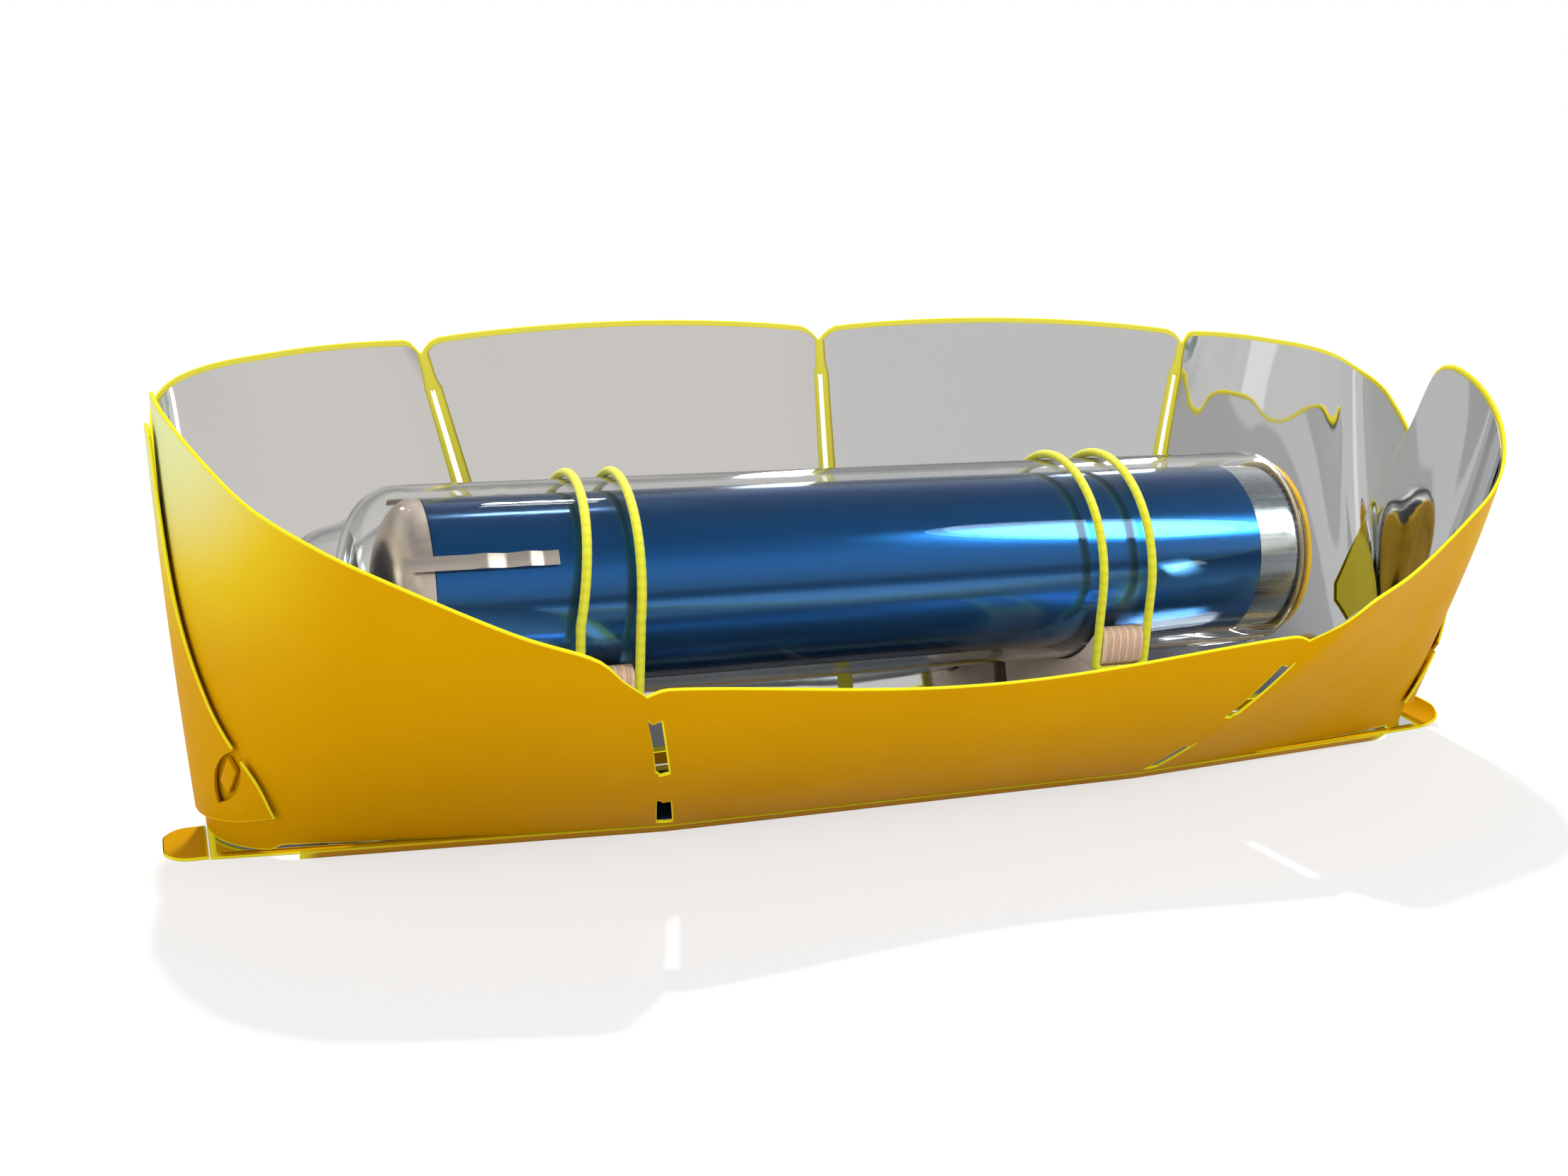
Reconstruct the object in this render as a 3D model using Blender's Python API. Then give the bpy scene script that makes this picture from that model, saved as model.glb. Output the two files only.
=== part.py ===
"""A portable solar oven: a folding mirrored trough with an evacuated cooking tube.

Metres, +Z up, the floor at Z = 0 and the tube's axis along X. The trough is one
creased plastic sheet on the real oven. Here each panel between two creases is a
solid of its own, and every crease is a narrow score gap between its panels.
The far side from the viewer is +Y and carries the tall back wall.
"""

from math import asin, atan2, cos, pi, radians, sin, sqrt

import bmesh
import bpy
import numpy as np
from mathutils import Vector

# Sheet and film
SHEET = 0.0010
FILM = 0.0003
GAP = 0.0003
SCORE = 0.0004
WRAP = 0.0024
RIM_BORDER = 0.0020
SLOT_BORDER = 0.0030

# Base strip, spines and tongues
BASE_HALF = 0.0255
BASE_BACK = 0.0275
BASE_FOLD_X = 0.0865
BASE_END_X = 0.2255
BASE_END_HALF = 0.0120
SPINE_X = 0.2000
SPINE_HEIGHT = 0.0040
SPINE_FRONT_Y = -0.0163
SPINE_BACK_Y = 0.0194
SPINE_LEAN = 0.0042
SPINE_BACK_LEAN = 0.0017
TONGUE_LENGTH = 0.0130
TONGUE_HALF = 0.0115
TONGUE_ROLL = 0.0120
TONGUE_ROLL_TURN = radians(62)

# Cooking tube, its axis TUBE_AXIS above the floor
TUBE_AXIS = 0.0754
TUBE_RADIUS = 0.0350
GLASS = 0.0016
VACUUM = 0.0034
INNER_RADIUS = TUBE_RADIUS - GLASS - VACUUM
DOME_X = -0.1850
DOME_LENGTH = 0.0200
DOME_SPACING = 0.0110
MOUTH_X = 0.1445
INNER_DOME_X = DOME_X + DOME_SPACING
INNER_DOME_LENGTH = 0.0140
CUP_LENGTH = 0.0151
COAT_START_X = INNER_DOME_X + CUP_LENGTH
CLEAR_END = 0.0186
COAT_END_X = MOUTH_X - CLEAR_END
ARM_LENGTH = 0.0518
ARM_END_X = INNER_DOME_X + ARM_LENGTH
ARM_WIDTH = 0.0045
ARM_START = 0.0060
ARM_LIFT = 0.0010
ARM_RIPPLE = 0.0006
ARM_TURNS = (radians(-55), radians(35), radians(125), radians(215))
ARM_WAVES = ((0.0, 0.0), (0.42, 0.0), (0.52, 1.0), (0.66, -0.75), (0.80, 1.0), (0.90, -0.3), (1.0, 0.2))
NIB_LENGTH = 0.0035
NIB_RADIUS = 0.0028

# Stopper and tray
STOPPER_INSET = 0.0030
STOPPER_RADIUS = TUBE_RADIUS - STOPPER_INSET
STOPPER_FLANGE = 0.0024
PLUG_LENGTH = 0.0150
STOPPER_EDGE = 0.0008
COLLAR_WALL = 0.0008
COLLAR_LENGTH = 0.0170
TRAY_CLEARANCE = 0.0049
TRAY_RADIUS = INNER_RADIUS - GLASS - TRAY_CLEARANCE
TRAY_WALL = 0.0008
TRAY_END_WALL = 0.0010
TRAY_SETBACK = 0.0390
TRAY_START_X = INNER_DOME_X + TRAY_SETBACK
TRAY_RIM_RISE = 0.0020
ROD_LENGTH = 0.0040
ROD_DROP = 0.0100
ROD_RADIUS = 0.0030

# Plywood saddles and elastic loops
SADDLE_X = (-0.1086, 0.0696)
SADDLE_THICK = 0.0150
SADDLE_FOOT_HALF = 0.0205
SADDLE_ARM = 0.0031
SADDLE_HALF = TUBE_RADIUS + SCORE + SADDLE_ARM
ARM_TOP = 0.0170
HOOK_DROP = 0.0290
SADDLE_FLARE = 0.0030
SADDLE_FLARE_RISE = 0.0100
SADDLE_WAIST = 0.0045
SADDLE_WAIST_DROP = 0.0110
CORD_RADIUS = 0.0015
CORD_BEND = 0.0030
LOOP_LEANS = ((0.0016, 0.0057), (-0.0012, -0.0012))
HOOK_SEAT = 0.0005
HOOK_DEPTH = SADDLE_HALF - TUBE_RADIUS - GAP + HOOK_SEAT
HOOK_ROOM = 0.0009
HOOK_ROUND = CORD_RADIUS + HOOK_ROOM
HOOK_LIP = 0.0016
HOOK_HALF = HOOK_ROUND + HOOK_LIP

# Slots and notches beside the creases, heights above the floor
FRONT_SLOT = (0.0357, 0.0584, 0.0029)
FRONT_SLOT_LOW = (0.0068, 0.0203, 0.0025)
BACK_SLOT = (0.0900, 0.1270, 0.0012)

# Each wall column: foot x, foot y, rim x, rim y, rim height, outward belly.
# They run from the front crease round the end to the back crease.
COLUMNS = np.array([
    (BASE_FOLD_X, -BASE_HALF, 0.1103, -0.0823, 0.0693, 0.0070),
    (0.0920, -0.0251, 0.1184, -0.0880, 0.0765, 0.0068),
    (0.1020, -0.0243, 0.1273, -0.0905, 0.0846, 0.0065),
    (0.1300, -0.0220, 0.1481, -0.0835, 0.0909, 0.0060),
    (0.1650, -0.0192, 0.1780, -0.0710, 0.1027, 0.0055),
    (0.1905, -0.0173, 0.1972, -0.0618, 0.1110, 0.0050),
    (0.2060, -0.0154, 0.2131, -0.0474, 0.1190, 0.0040),
    (0.2162, -0.0110, 0.2248, -0.0292, 0.1285, 0.0030),
    (0.2238, -0.0033, 0.2330, -0.0079, 0.1360, 0.0020),
    (0.2270, 0.0060, 0.2362, 0.0100, 0.1393, 0.0012),
    (0.2270, 0.0130, 0.2364, 0.0300, 0.1393, 0.0000),
    (0.2240, 0.0176, 0.2356, 0.0505, 0.1370, 0.0000),
    (0.2155, 0.0187, 0.2320, 0.0648, 0.1320, 0.0000),
    (0.2000, 0.0194, 0.2180, 0.0705, 0.1345, 0.0010),
    (0.1700, 0.0209, 0.1900, 0.0735, 0.1395, 0.0030),
    (0.1400, 0.0226, 0.1620, 0.0705, 0.1434, 0.0030),
    (0.1130, 0.0240, 0.1480, 0.0665, 0.1395, 0.0030),
])
MIDDLE_COLUMN = (0.0, BASE_BACK, 0.0, 0.0809, 0.1401, 0.0030)
FRONT_CREASE = 0.0
TIP = 9.0
PETAL_END = 12.6
FILM_END = 10.6
TUCK_START = 2.5
TUCK_FULL = 5.6
CORNER = 10.0
HINGE_LOW = 0.0100
HINGE_HIGH = 0.1050
BACK_CREASE = 16.0
WALL_FOOT = SPINE_HEIGHT + GAP
STRIP_TOP = SHEET + 2 * GAP + FILM

# Heights of the cut edges against the column number
FRONT_TOP = ((9.0, 0.1393), (9.3, 0.1385), (9.55, 0.1350), (9.75, 0.1265), (10.0, 0.1145),
             (11.0, 0.0850), (12.0, 0.0620), (12.6, 0.0460))
FRONT_BOTTOM = ((0.0, WALL_FOOT), (5.9, WALL_FOOT), (6.3, STRIP_TOP), (9.0, STRIP_TOP), (10.0, 0.0060),
                (11.0, 0.0170), (12.0, 0.0300), (12.6, 0.0400))
FLAP_TOP = ((5.9, 0.1150), (8.6, 0.1280), (9.0, 0.1305), (9.3, 0.1285), (9.65, 0.1180), (10.0, 0.1060))
FLAP_BOTTOM = ((5.9, 0.0160), (7.0, 0.0125), (8.0, 0.0105), (9.0, 0.0092), (10.0, 0.0090))
FLAP_EDGE = ((0.0, 5.9), (0.13, 6.15), (0.37, 7.2), (0.66, 8.1), (1.0, 8.6))
END_TOP = ((10.0, 0.1060), (10.6, 0.1165), (11.1, 0.1235), (12.0, 0.1290), (12.75, 0.1340),
           (13.6, 0.1385), (15.0, 0.1432), (15.7, 0.1437), (16.0, 0.1395))
END_BOTTOM = ((10.0, 0.0070), (11.25, 0.0070), (12.0, WALL_FOOT), (16.0, WALL_FOOT))
CREASE_SPREAD = 0.50
FRONT_DIP = 0.13
FRONT_NOTCH = 0.0075
FRONT_NOTCH_DEPTH = 0.0024
BACK_RISE = 0.062
BACK_NOTCH = 0.0070

# The lens hole in each lock flap and the tab that shows in it
LENS_COLUMN = 6.95
LENS_HEIGHT = 0.0290
LENS_LONG = 0.0125
LENS_WIDE = 0.0048
LENS_TILT = radians(28)
TAB_LONG = 0.0068
TAB_WIDE = 0.0044
TAB_SLANT = 0.55

# Faces that meet at more than this look like an edge
CREASE_ANGLE = radians(35)

# Colours
YELLOW = (0.72, 0.42, 0.02)
MIRROR = (0.80, 0.80, 0.79)
GLASS_TINT = (0.85, 0.90, 0.90)
COAT_BLUE = (0.03, 0.09, 0.22)
STEEL = (0.62, 0.62, 0.60)
CORD_LIME = (0.75, 0.78, 0.05)
PLY = (0.66, 0.50, 0.34)
STOPPER_ORANGE = (0.85, 0.50, 0.03)


def clear_scene():
    for item in list(bpy.data.objects):
        bpy.data.objects.remove(item, do_unlink=True)


def material(name, colour, roughness, metallic=0.0):
    made = bpy.data.materials.new(name)
    made.use_nodes = True
    shader = made.node_tree.nodes["Principled BSDF"]
    shader.inputs["Base Color"].default_value = (*colour, 1.0)
    shader.inputs["Roughness"].default_value = roughness
    shader.inputs["Metallic"].default_value = metallic
    return made


def mesh_object(name, points, faces, paint, smooth=False):
    """One closed solid, its faces turned outward."""
    mesh = bpy.data.meshes.new(name)
    mesh.from_pydata([tuple(p) for p in points], [], faces)
    shell = bmesh.new()
    shell.from_mesh(mesh)
    bmesh.ops.remove_doubles(shell, verts=shell.verts, dist=1e-7)
    bmesh.ops.recalc_face_normals(shell, faces=shell.faces)
    shell.to_mesh(mesh)
    shell.free()
    if smooth:
        mesh.shade_smooth()
        mesh.set_sharp_from_angle(angle=CREASE_ANGLE)
    made = bpy.data.objects.new(name, mesh)
    bpy.context.collection.objects.link(made)
    made.data.materials.append(paint)
    return made


def subtract(target, cutter):
    """Cut one closed mesh from another, then drop the cutter."""
    cut = target.modifiers.new("cut", "BOOLEAN")
    cut.operation = "DIFFERENCE"
    cut.solver = "EXACT"
    cut.object = cutter
    graph = bpy.context.evaluated_depsgraph_get()
    result = bpy.data.meshes.new_from_object(target.evaluated_get(graph))
    target.modifiers.remove(cut)
    target.data = result
    bpy.data.objects.remove(cutter, do_unlink=True)


def axis_mark(name, place, direction):
    """An empty whose Z axis lies along a joint's axis."""
    mark = bpy.data.objects.new(name, None)
    mark.empty_display_type = "SINGLE_ARROW"
    mark.empty_display_size = 0.03
    mark.location = place
    mark.rotation_mode = "QUATERNION"
    mark.rotation_quaternion = Vector(direction).to_track_quat("Z", "Y")
    bpy.context.collection.objects.link(mark)


# The trough's walls

def column(number):
    """A wall column at any place between two numbered ones, blended smoothly."""
    last = len(COLUMNS) - 1
    low = int(min(max(number, 0.0), last - 1e-9))
    t = number - low
    a, b = COLUMNS[low], COLUMNS[low + 1]
    before = COLUMNS[low - 1] if low else 2 * a - b
    after = COLUMNS[low + 2] if low + 2 <= last else 2 * b - a
    return 0.5 * (2 * a + (b - before) * t
                  + (2 * before - 5 * a + 4 * b - after) * t * t
                  + (3 * a - before - 3 * b + after) * t ** 3)


def column_point(values, height, outward):
    """The sheet's middle at a height on one column, belly and all."""
    foot_x, foot_y, rim_x, rim_y, rim_height, belly = values
    v = height / rim_height
    swell = belly * 4 * v * (1 - v)
    return np.array((foot_x + (rim_x - foot_x) * v + outward[0] * swell,
                     foot_y + (rim_y - foot_y) * v + outward[1] * swell,
                     height))


def outward_at(number):
    """The plan direction that points out of the trough at a column."""
    step = 0.05
    a = column(max(number - step, 0.0))
    b = column(min(number + step, len(COLUMNS) - 1))
    along = (b[0:2] + b[2:4]) - (a[0:2] + a[2:4])
    along /= np.hypot(*along)
    return np.array((along[1] + CREASE_SPREAD * max(0.0, 1.0 - number), -along[0]))


def end_wall(number, height, tuck=0.0):
    """The right-hand shell from the front crease to the back crease."""
    outward = outward_at(number)
    point = column_point(column(number), height, outward)
    point[:2] -= outward * tuck
    return point


def tuck_at(number):
    """The front sheet slips inside the shell as it nears the end."""
    share = min(max((number - TUCK_START) / (TUCK_FULL - TUCK_START), 0.0), 1.0)
    return WRAP * share * share * (3 - 2 * share)


def between(first, first_out, second, second_out):
    """The ruled wall between two creases, by share along and share up."""
    def wall(share, up):
        ends = []
        for values, out in ((first, first_out), (second, second_out)):
            ends.append(column_point(values, values[4] * up, out))
        return ends[0] * (1 - share) + ends[1] * share
    return wall


def heights(table, number):
    return float(np.interp(number, [row[0] for row in table], [row[1] for row in table]))


def front_top(number):
    return column(number)[4] if number <= TIP else heights(FRONT_TOP, number)


def resample(points, start, stop, count):
    """A polyline with fewer points, trimmed by a length at each end.

    Points stay as close as the path's own where it bends most.
    """
    points = np.array(points)
    lengths = np.concatenate([[0.0], np.cumsum(np.linalg.norm(np.diff(points, axis=0), axis=1))])
    steps = np.interp(np.linspace(0, len(points) - 1, count), range(len(points)), lengths)
    wanted = start + steps / lengths[-1] * (lengths[-1] - start - stop)
    return np.stack([np.interp(wanted, lengths, points[:, axis]) for axis in range(3)], axis=1)


def normals_of(grid, inside):
    """Unit normals of a grid, turned away from a point inside the trough."""
    along = np.gradient(grid, axis=1)
    up = np.gradient(grid, axis=0)
    normal = np.cross(along, up)
    normal /= np.linalg.norm(normal, axis=2, keepdims=True)
    if np.sum(normal * (grid - inside)) < 0:
        normal = -normal
    return normal


def slab(name, grid, outer, inner, paint, inside=(0.0, 0.0, 0.07), level_rows=(0,)):
    """A curved plate between two offsets of a grid of points.

    The level rows are cut level, so that two plates can meet at a crease. Both
    skins of a cell split along its shorter diagonal, so they never cross.
    """
    normal = normals_of(grid, np.array(inside))
    for row in level_rows:
        level = normal[row] * np.array((1.0, 1.0, 0.0))
        normal[row] = level / np.sum(level * level, axis=1, keepdims=True)
    rows, columns = grid.shape[:2]
    flat = grid.reshape(-1, 3)
    skins = [grid + normal * outer, grid + normal * inner]
    points = np.concatenate([skin.reshape(-1, 3) for skin in skins])
    size = rows * columns
    faces = []
    for row in range(rows - 1):
        for place in range(columns - 1):
            a = row * columns + place
            b = a + columns
            quad = (a, a + 1, b + 1, b)
            if np.linalg.norm(flat[a] - flat[b + 1]) > np.linalg.norm(flat[a + 1] - flat[b]):
                quad = (a + 1, b + 1, b, a)
            faces.append(quad)
            faces.append(tuple(corner + size for corner in (quad[0], quad[3], quad[2], quad[1])))
    rim = [place for place in range(columns)]
    rim += [row * columns + columns - 1 for row in range(1, rows)]
    rim += [(rows - 1) * columns + place for place in range(columns - 2, -1, -1)]
    rim += [row * columns for row in range(rows - 2, 0, -1)]
    for a, b in zip(rim, rim[1:] + rim[:1]):
        faces.append((a, a + size, b + size, b))
    return mesh_object(name, points, faces, paint, smooth=True)


def mirrored(grid):
    return grid * np.array((-1.0, 1.0, 1.0))


def slot_trim(height, slots, plain):
    """How far a panel's edge stands back from its crease at a height."""
    for low, high, half in slots:
        if low < height < high:
            return half
    return plain


def rows_for(low, high, slots, count):
    """Row shares: even steps, with a close pair at each end of each slot."""
    edge = 0.0003
    shares = list(np.linspace(0.0, 1.0, count))
    for bottom, top, _ in slots:
        for height in (bottom, top):
            share = (height - low) / (high - low)
            if 0.0 < share < 1.0:
                shares = [s for s in shares if abs(s - share) > 0.03 or s in (0.0, 1.0)]
                shares += [share - edge / (high - low), share + edge / (high - low)]
    return sorted(shares)


def front_end_grid(border, count, row_count, last=PETAL_END):
    """The front wall's end panel, from the crease round to the tucked petal."""
    slots = (FRONT_SLOT, FRONT_SLOT_LOW)
    rim = column(FRONT_CREASE)[4]
    grid = []
    for share in rows_for(WALL_FOOT, rim, slots, row_count):
        path = []
        for number in np.linspace(FRONT_CREASE, last, 60):
            low, high = heights(FRONT_BOTTOM, number), front_top(number)
            low, high = low + border, high - border
            path.append(end_wall(number, low + (high - low) * share, tuck_at(number)))
        slot_border = SLOT_BORDER if border else 0.0
        trim = slot_trim(path[0][2], slots, 0.0) + (slot_border or SCORE / 2)
        grid.append(resample(path, trim, border, count))
    return np.array(grid)


def front_centre_grid(border, count, row_count):
    """The low middle panel of the front wall."""
    slots = (FRONT_SLOT, FRONT_SLOT_LOW)
    right = column(FRONT_CREASE)
    left = right * np.array((-1, 1, -1, 1, 1, 1))
    out = outward_at(FRONT_CREASE)
    wall = between(left, (-out[0], out[1]), right, out)
    grid = []
    for share in rows_for(WALL_FOOT, right[4], slots, row_count):
        path = []
        for across in np.linspace(0.0, 1.0, 41):
            dip = FRONT_DIP * sin(pi * across) ** 1.5
            shoulder = min(1.0, min(across, 1 - across) * 2 * right[2] / FRONT_NOTCH)
            rim = right[4] * (1 - dip) + FRONT_NOTCH_DEPTH * sin(pi / 2 * shoulder)
            low, high = WALL_FOOT + border, rim - border
            path.append(wall(across, (low + (high - low) * share) / right[4]))
        slot_border = SLOT_BORDER if border else 0.0
        trim = slot_trim(path[0][2], slots, 0.0) + (slot_border or SCORE / 2)
        grid.append(resample(path, trim, trim, count))
    return np.array(grid)


def back_inner_grid(border, count, row_count):
    """The right panel of the back wall, from the middle crease outward."""
    slots = (BACK_SLOT,)
    side = column(BACK_CREASE)
    wall = between(np.array(MIDDLE_COLUMN), (0.0, 1.0), side, outward_at(BACK_CREASE))
    grid = []
    for share in rows_for(WALL_FOOT, side[4], slots, row_count):
        path = []
        for across in np.linspace(0.0, 1.0, 41):
            length = abs(side[2])
            shoulder = min(1.0, min(across, 1 - across) * length / BACK_NOTCH)
            rise = BACK_RISE * (0.45 * shoulder + 0.55 * sin(pi * across) ** 0.7)
            low, high = WALL_FOOT + border, side[4] * (1 + rise) - border
            path.append(wall(across, (low + (high - low) * share) / side[4]))
        slot_border = SLOT_BORDER if border else 0.0
        trim = slot_trim(path[0][2], slots, 0.0) + (slot_border or SCORE / 2)
        grid.append(resample(path, trim, trim, count))
    return np.array(grid)


def back_end_grid(border, count, row_count):
    """The end panel of the back wall, from its crease round to the corner."""
    slots = (BACK_SLOT,)
    grid = []
    for share in rows_for(WALL_FOOT, column(BACK_CREASE)[4], slots, row_count):
        path = []
        for number in np.linspace(BACK_CREASE, CORNER, 60):
            low, high = heights(END_BOTTOM, number) + border, heights(END_TOP, number) - border
            path.append(end_wall(number, low + (high - low) * share))
        slot_border = SLOT_BORDER if border else 0.0
        trim = slot_trim(path[0][2], slots, 0.0) + (slot_border or SCORE / 2)
        grid.append(resample(path, trim, border + SCORE / 2, count))
    return np.array(grid)


def flap_grid(count, row_count):
    """The lock flap, from its slanted free edge back to the corner."""
    grid = []
    for share in np.linspace(0.0, 1.0, row_count):
        path = []
        for number in np.linspace(heights(FLAP_EDGE, share), CORNER, 60):
            low, high = heights(FLAP_BOTTOM, number), heights(FLAP_TOP, number)
            path.append(end_wall(number, low + (high - low) * share))
        grid.append(resample(path, 0.0, SCORE / 2, count))
    return np.array(grid)


def pair_of(name, grid, outer, inner, paint):
    """The same plate on the right and, mirrored, on the left."""
    slab(name + "_right", grid, outer, inner, paint)
    slab(name + "_left", mirrored(grid), outer, inner, paint)


def film_offsets():
    top = -SHEET / 2 - GAP
    return top, top - FILM


def build_walls(yellow, mirror):
    half = SHEET / 2
    pair_of("front_end_panel", front_end_grid(0.0, 27, 8), half, -half, yellow)
    slab("front_centre_panel", front_centre_grid(0.0, 11, 8), half, -half, yellow)
    inner = back_inner_grid(0.0, 10, 7)
    pair_of("back_inner_panel", inner, half, -half, yellow)
    pair_of("back_end_panel", back_end_grid(0.0, 22, 8), half, -half, yellow)
    pair_of("front_end_mirror", front_end_grid(RIM_BORDER, 26, 8, FILM_END), *film_offsets(), mirror)
    slab("front_centre_mirror", front_centre_grid(RIM_BORDER, 9, 5), *film_offsets(), mirror)
    pair_of("back_inner_mirror", back_inner_grid(RIM_BORDER, 7, 5), *film_offsets(), mirror)
    pair_of("back_end_mirror", back_end_grid(RIM_BORDER, 21, 8), *film_offsets(), mirror)


def frame_at(number, height, offset):
    """A point on the end shell with its along, up and outward directions."""
    step = 0.01
    here = end_wall(number, height)
    along = end_wall(number + step, height) - end_wall(number - step, height)
    up = end_wall(number, height + 0.001) - end_wall(number, height - 0.001)
    along /= np.linalg.norm(along)
    up /= np.linalg.norm(up)
    out = np.cross(up, along)
    if out[0] < 0:
        out = -out
    out /= np.linalg.norm(out)
    return here + out * offset, along, up, out


def lens_outline(long, wide, count=12):
    """A pointed lens from two equal arcs."""
    radius = (long * long + wide * wide) / (2 * wide)
    reach = asin(long / radius)
    points = []
    for step in range(count):
        angle = -reach + 2 * reach * step / count
        points.append((radius * cos(angle) - radius + wide, radius * sin(angle)))
    return points + [(-x, -y) for x, y in points]


def plate_on_shell(name, outline, tilt, near, far, paint, side):
    """A small plate with a flat outline, standing on the end shell."""
    place, along, up, out = frame_at(LENS_COLUMN, LENS_HEIGHT, 0.0)
    turned = []
    for x, y in outline:
        turned.append((x * cos(tilt) - y * sin(tilt), x * sin(tilt) + y * cos(tilt)))
    points = []
    for offset in (near, far):
        for x, y in turned:
            points.append((place + along * x + up * y + out * offset) * np.array((side, 1, 1)))
    count = len(turned)
    faces = [tuple(range(count)), tuple(range(2 * count - 1, count - 1, -1))]
    for i in range(count):
        j = (i + 1) % count
        faces.append((i, j, j + count, i + count))
    return mesh_object(name, points, faces, paint)


def build_lock_flaps(yellow):
    half = SHEET / 2
    slant = TAB_LONG * TAB_SLANT
    tab = [(-TAB_WIDE / 2, -TAB_LONG), (TAB_WIDE / 2, -slant), (TAB_WIDE / 2, TAB_LONG), (-TAB_WIDE / 2, slant)]
    for label, side in (("right", 1), ("left", -1)):
        grid = flap_grid(14, 9) * np.array((side, 1, 1))
        flap = slab("lock_flap_" + label, grid, half, -half, yellow)
        lens = lens_outline(LENS_LONG, LENS_WIDE)
        cutter = plate_on_shell("lens_cutter", lens, LENS_TILT, -0.004, 0.008, yellow, side)
        subtract(flap, cutter)
        plate_on_shell("lock_tab_" + label, tab, LENS_TILT, half + GAP - WRAP, half - GAP, yellow, side)


# Base strip, spines and tongues

def prism(name, outline, low, high, paint, smooth=False):
    """A flat plate with a plan outline."""
    count = len(outline)
    points = [(x, y, z) for z in (low, high) for x, y in outline]
    faces = [tuple(range(count - 1, -1, -1)), tuple(range(count, 2 * count))]
    for i in range(count):
        j = (i + 1) % count
        faces.append((i, j, j + count, i + count))
    return mesh_object(name, points, faces, paint, smooth)


def base_outline(inset):
    """The strip's plan: widest between the creases, narrow at the ends."""
    end = BASE_END_X - inset
    back_x = COLUMNS[-1][0]
    front = [(-end, -BASE_END_HALF + inset), (-BASE_FOLD_X, -BASE_HALF + inset),
             (BASE_FOLD_X, -BASE_HALF + inset), (end, -BASE_END_HALF + inset)]
    back = [(end, BASE_END_HALF - inset), (back_x, COLUMNS[-1][1] - inset), (0.0, BASE_BACK - inset),
            (-back_x, COLUMNS[-1][1] - inset), (-end, BASE_END_HALF - inset)]
    return front + back


def spine(name, foot, paint):
    """The narrow band between the base's edge and a wall, along a plan line."""
    grid = []
    for share in (0.0, 1.0):
        row = []
        for x, y in foot:
            lean = SPINE_LEAN if y < 0 else SPINE_BACK_LEAN
            outward = 1 if y > 0 else -1
            row.append((x, y + outward * (lean * share + SCORE + SHEET / 2), SPINE_HEIGHT * share))
        grid.append(row)
    return slab(name, np.array(grid), SHEET / 2, -SHEET / 2, paint, level_rows=(0, 1))


def build_base(yellow, mirror):
    prism("base_strip", base_outline(0.0), 0.0, SHEET, yellow)
    film = SHEET + GAP
    prism("base_mirror", base_outline(RIM_BORDER), film, film + FILM, mirror)


def tongue_left(yellow):
    """The left tongue lies flat, with rounded free corners."""
    start = -BASE_END_X - SCORE
    tip = start - TONGUE_LENGTH
    corner = TONGUE_HALF * 0.7
    outline = [(start, TONGUE_HALF)]
    for turn in np.linspace(0, pi / 2, 5):
        outline.append((tip + corner * (1 - sin(turn)), TONGUE_HALF - corner * (1 - cos(turn))))
    for turn in np.linspace(pi / 2, 0, 5):
        outline.append((tip + corner * (1 - sin(turn)), -TONGUE_HALF + corner * (1 - cos(turn))))
    outline.append((start, -TONGUE_HALF))
    prism("tongue_left", outline, 0.0, SHEET, yellow)


def tongue_right(yellow):
    """The right tongue is rolled up against the end, as in the photograph."""
    start = BASE_END_X + SCORE
    grid = []
    for turn in np.linspace(0.0, TONGUE_ROLL_TURN, 9):
        share = turn / TONGUE_ROLL_TURN
        half = TONGUE_HALF * sqrt(max(0.05, 1 - max(0.0, share - 0.55) ** 2 / 0.22))
        x = start + (TONGUE_ROLL - SHEET / 2) * sin(turn)
        z = SHEET / 2 + (TONGUE_ROLL - SHEET / 2) * (1 - cos(turn))
        grid.append([(x, half * across, z) for across in np.linspace(-1.0, 1.0, 5)])
    slab("tongue_right", np.array(grid), SHEET / 2, -SHEET / 2, yellow, (start, 0.0, TONGUE_ROLL), ())


def build_spines(yellow):
    ends = [(SPINE_X, SPINE_FRONT_Y), (BASE_FOLD_X, -BASE_HALF),
            (-BASE_FOLD_X, -BASE_HALF), (-SPINE_X, SPINE_FRONT_Y)]
    spine("front_spine", ends, yellow)
    back_x, back_y = COLUMNS[-1][0], COLUMNS[-1][1]
    ends = [(SPINE_X, SPINE_BACK_Y), (back_x, back_y), (0.0, BASE_BACK),
            (-back_x, back_y), (-SPINE_X, SPINE_BACK_Y)]
    spine("back_spine", ends, yellow)


# The cooking tube

def lathe(name, profile, paint, steps=36, drop=0.0):
    """Turn a closed (x, radius) outline about the tube's axis, or below it."""
    points = []
    faces = []
    count = len(profile)
    index = {}
    centre = TUBE_AXIS - drop
    for i, (x, radius) in enumerate(profile):
        if radius < 1e-9:
            index[i] = [len(points)] * steps
            points.append((x, 0.0, centre))
        else:
            index[i] = list(range(len(points), len(points) + steps))
            for step in range(steps):
                angle = 2 * pi * step / steps
                points.append((x, radius * sin(angle), centre + radius * cos(angle)))
    for i in range(count):
        j = (i + 1) % count
        for step in range(steps):
            ahead = (step + 1) % steps
            corners = [index[i][step], index[i][ahead], index[j][ahead], index[j][step]]
            ring = []
            for corner in corners:
                if corner not in ring:
                    ring.append(corner)
            if len(ring) > 2:
                faces.append(tuple(ring))
    return mesh_object(name, points, faces, paint, smooth=True)


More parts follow.
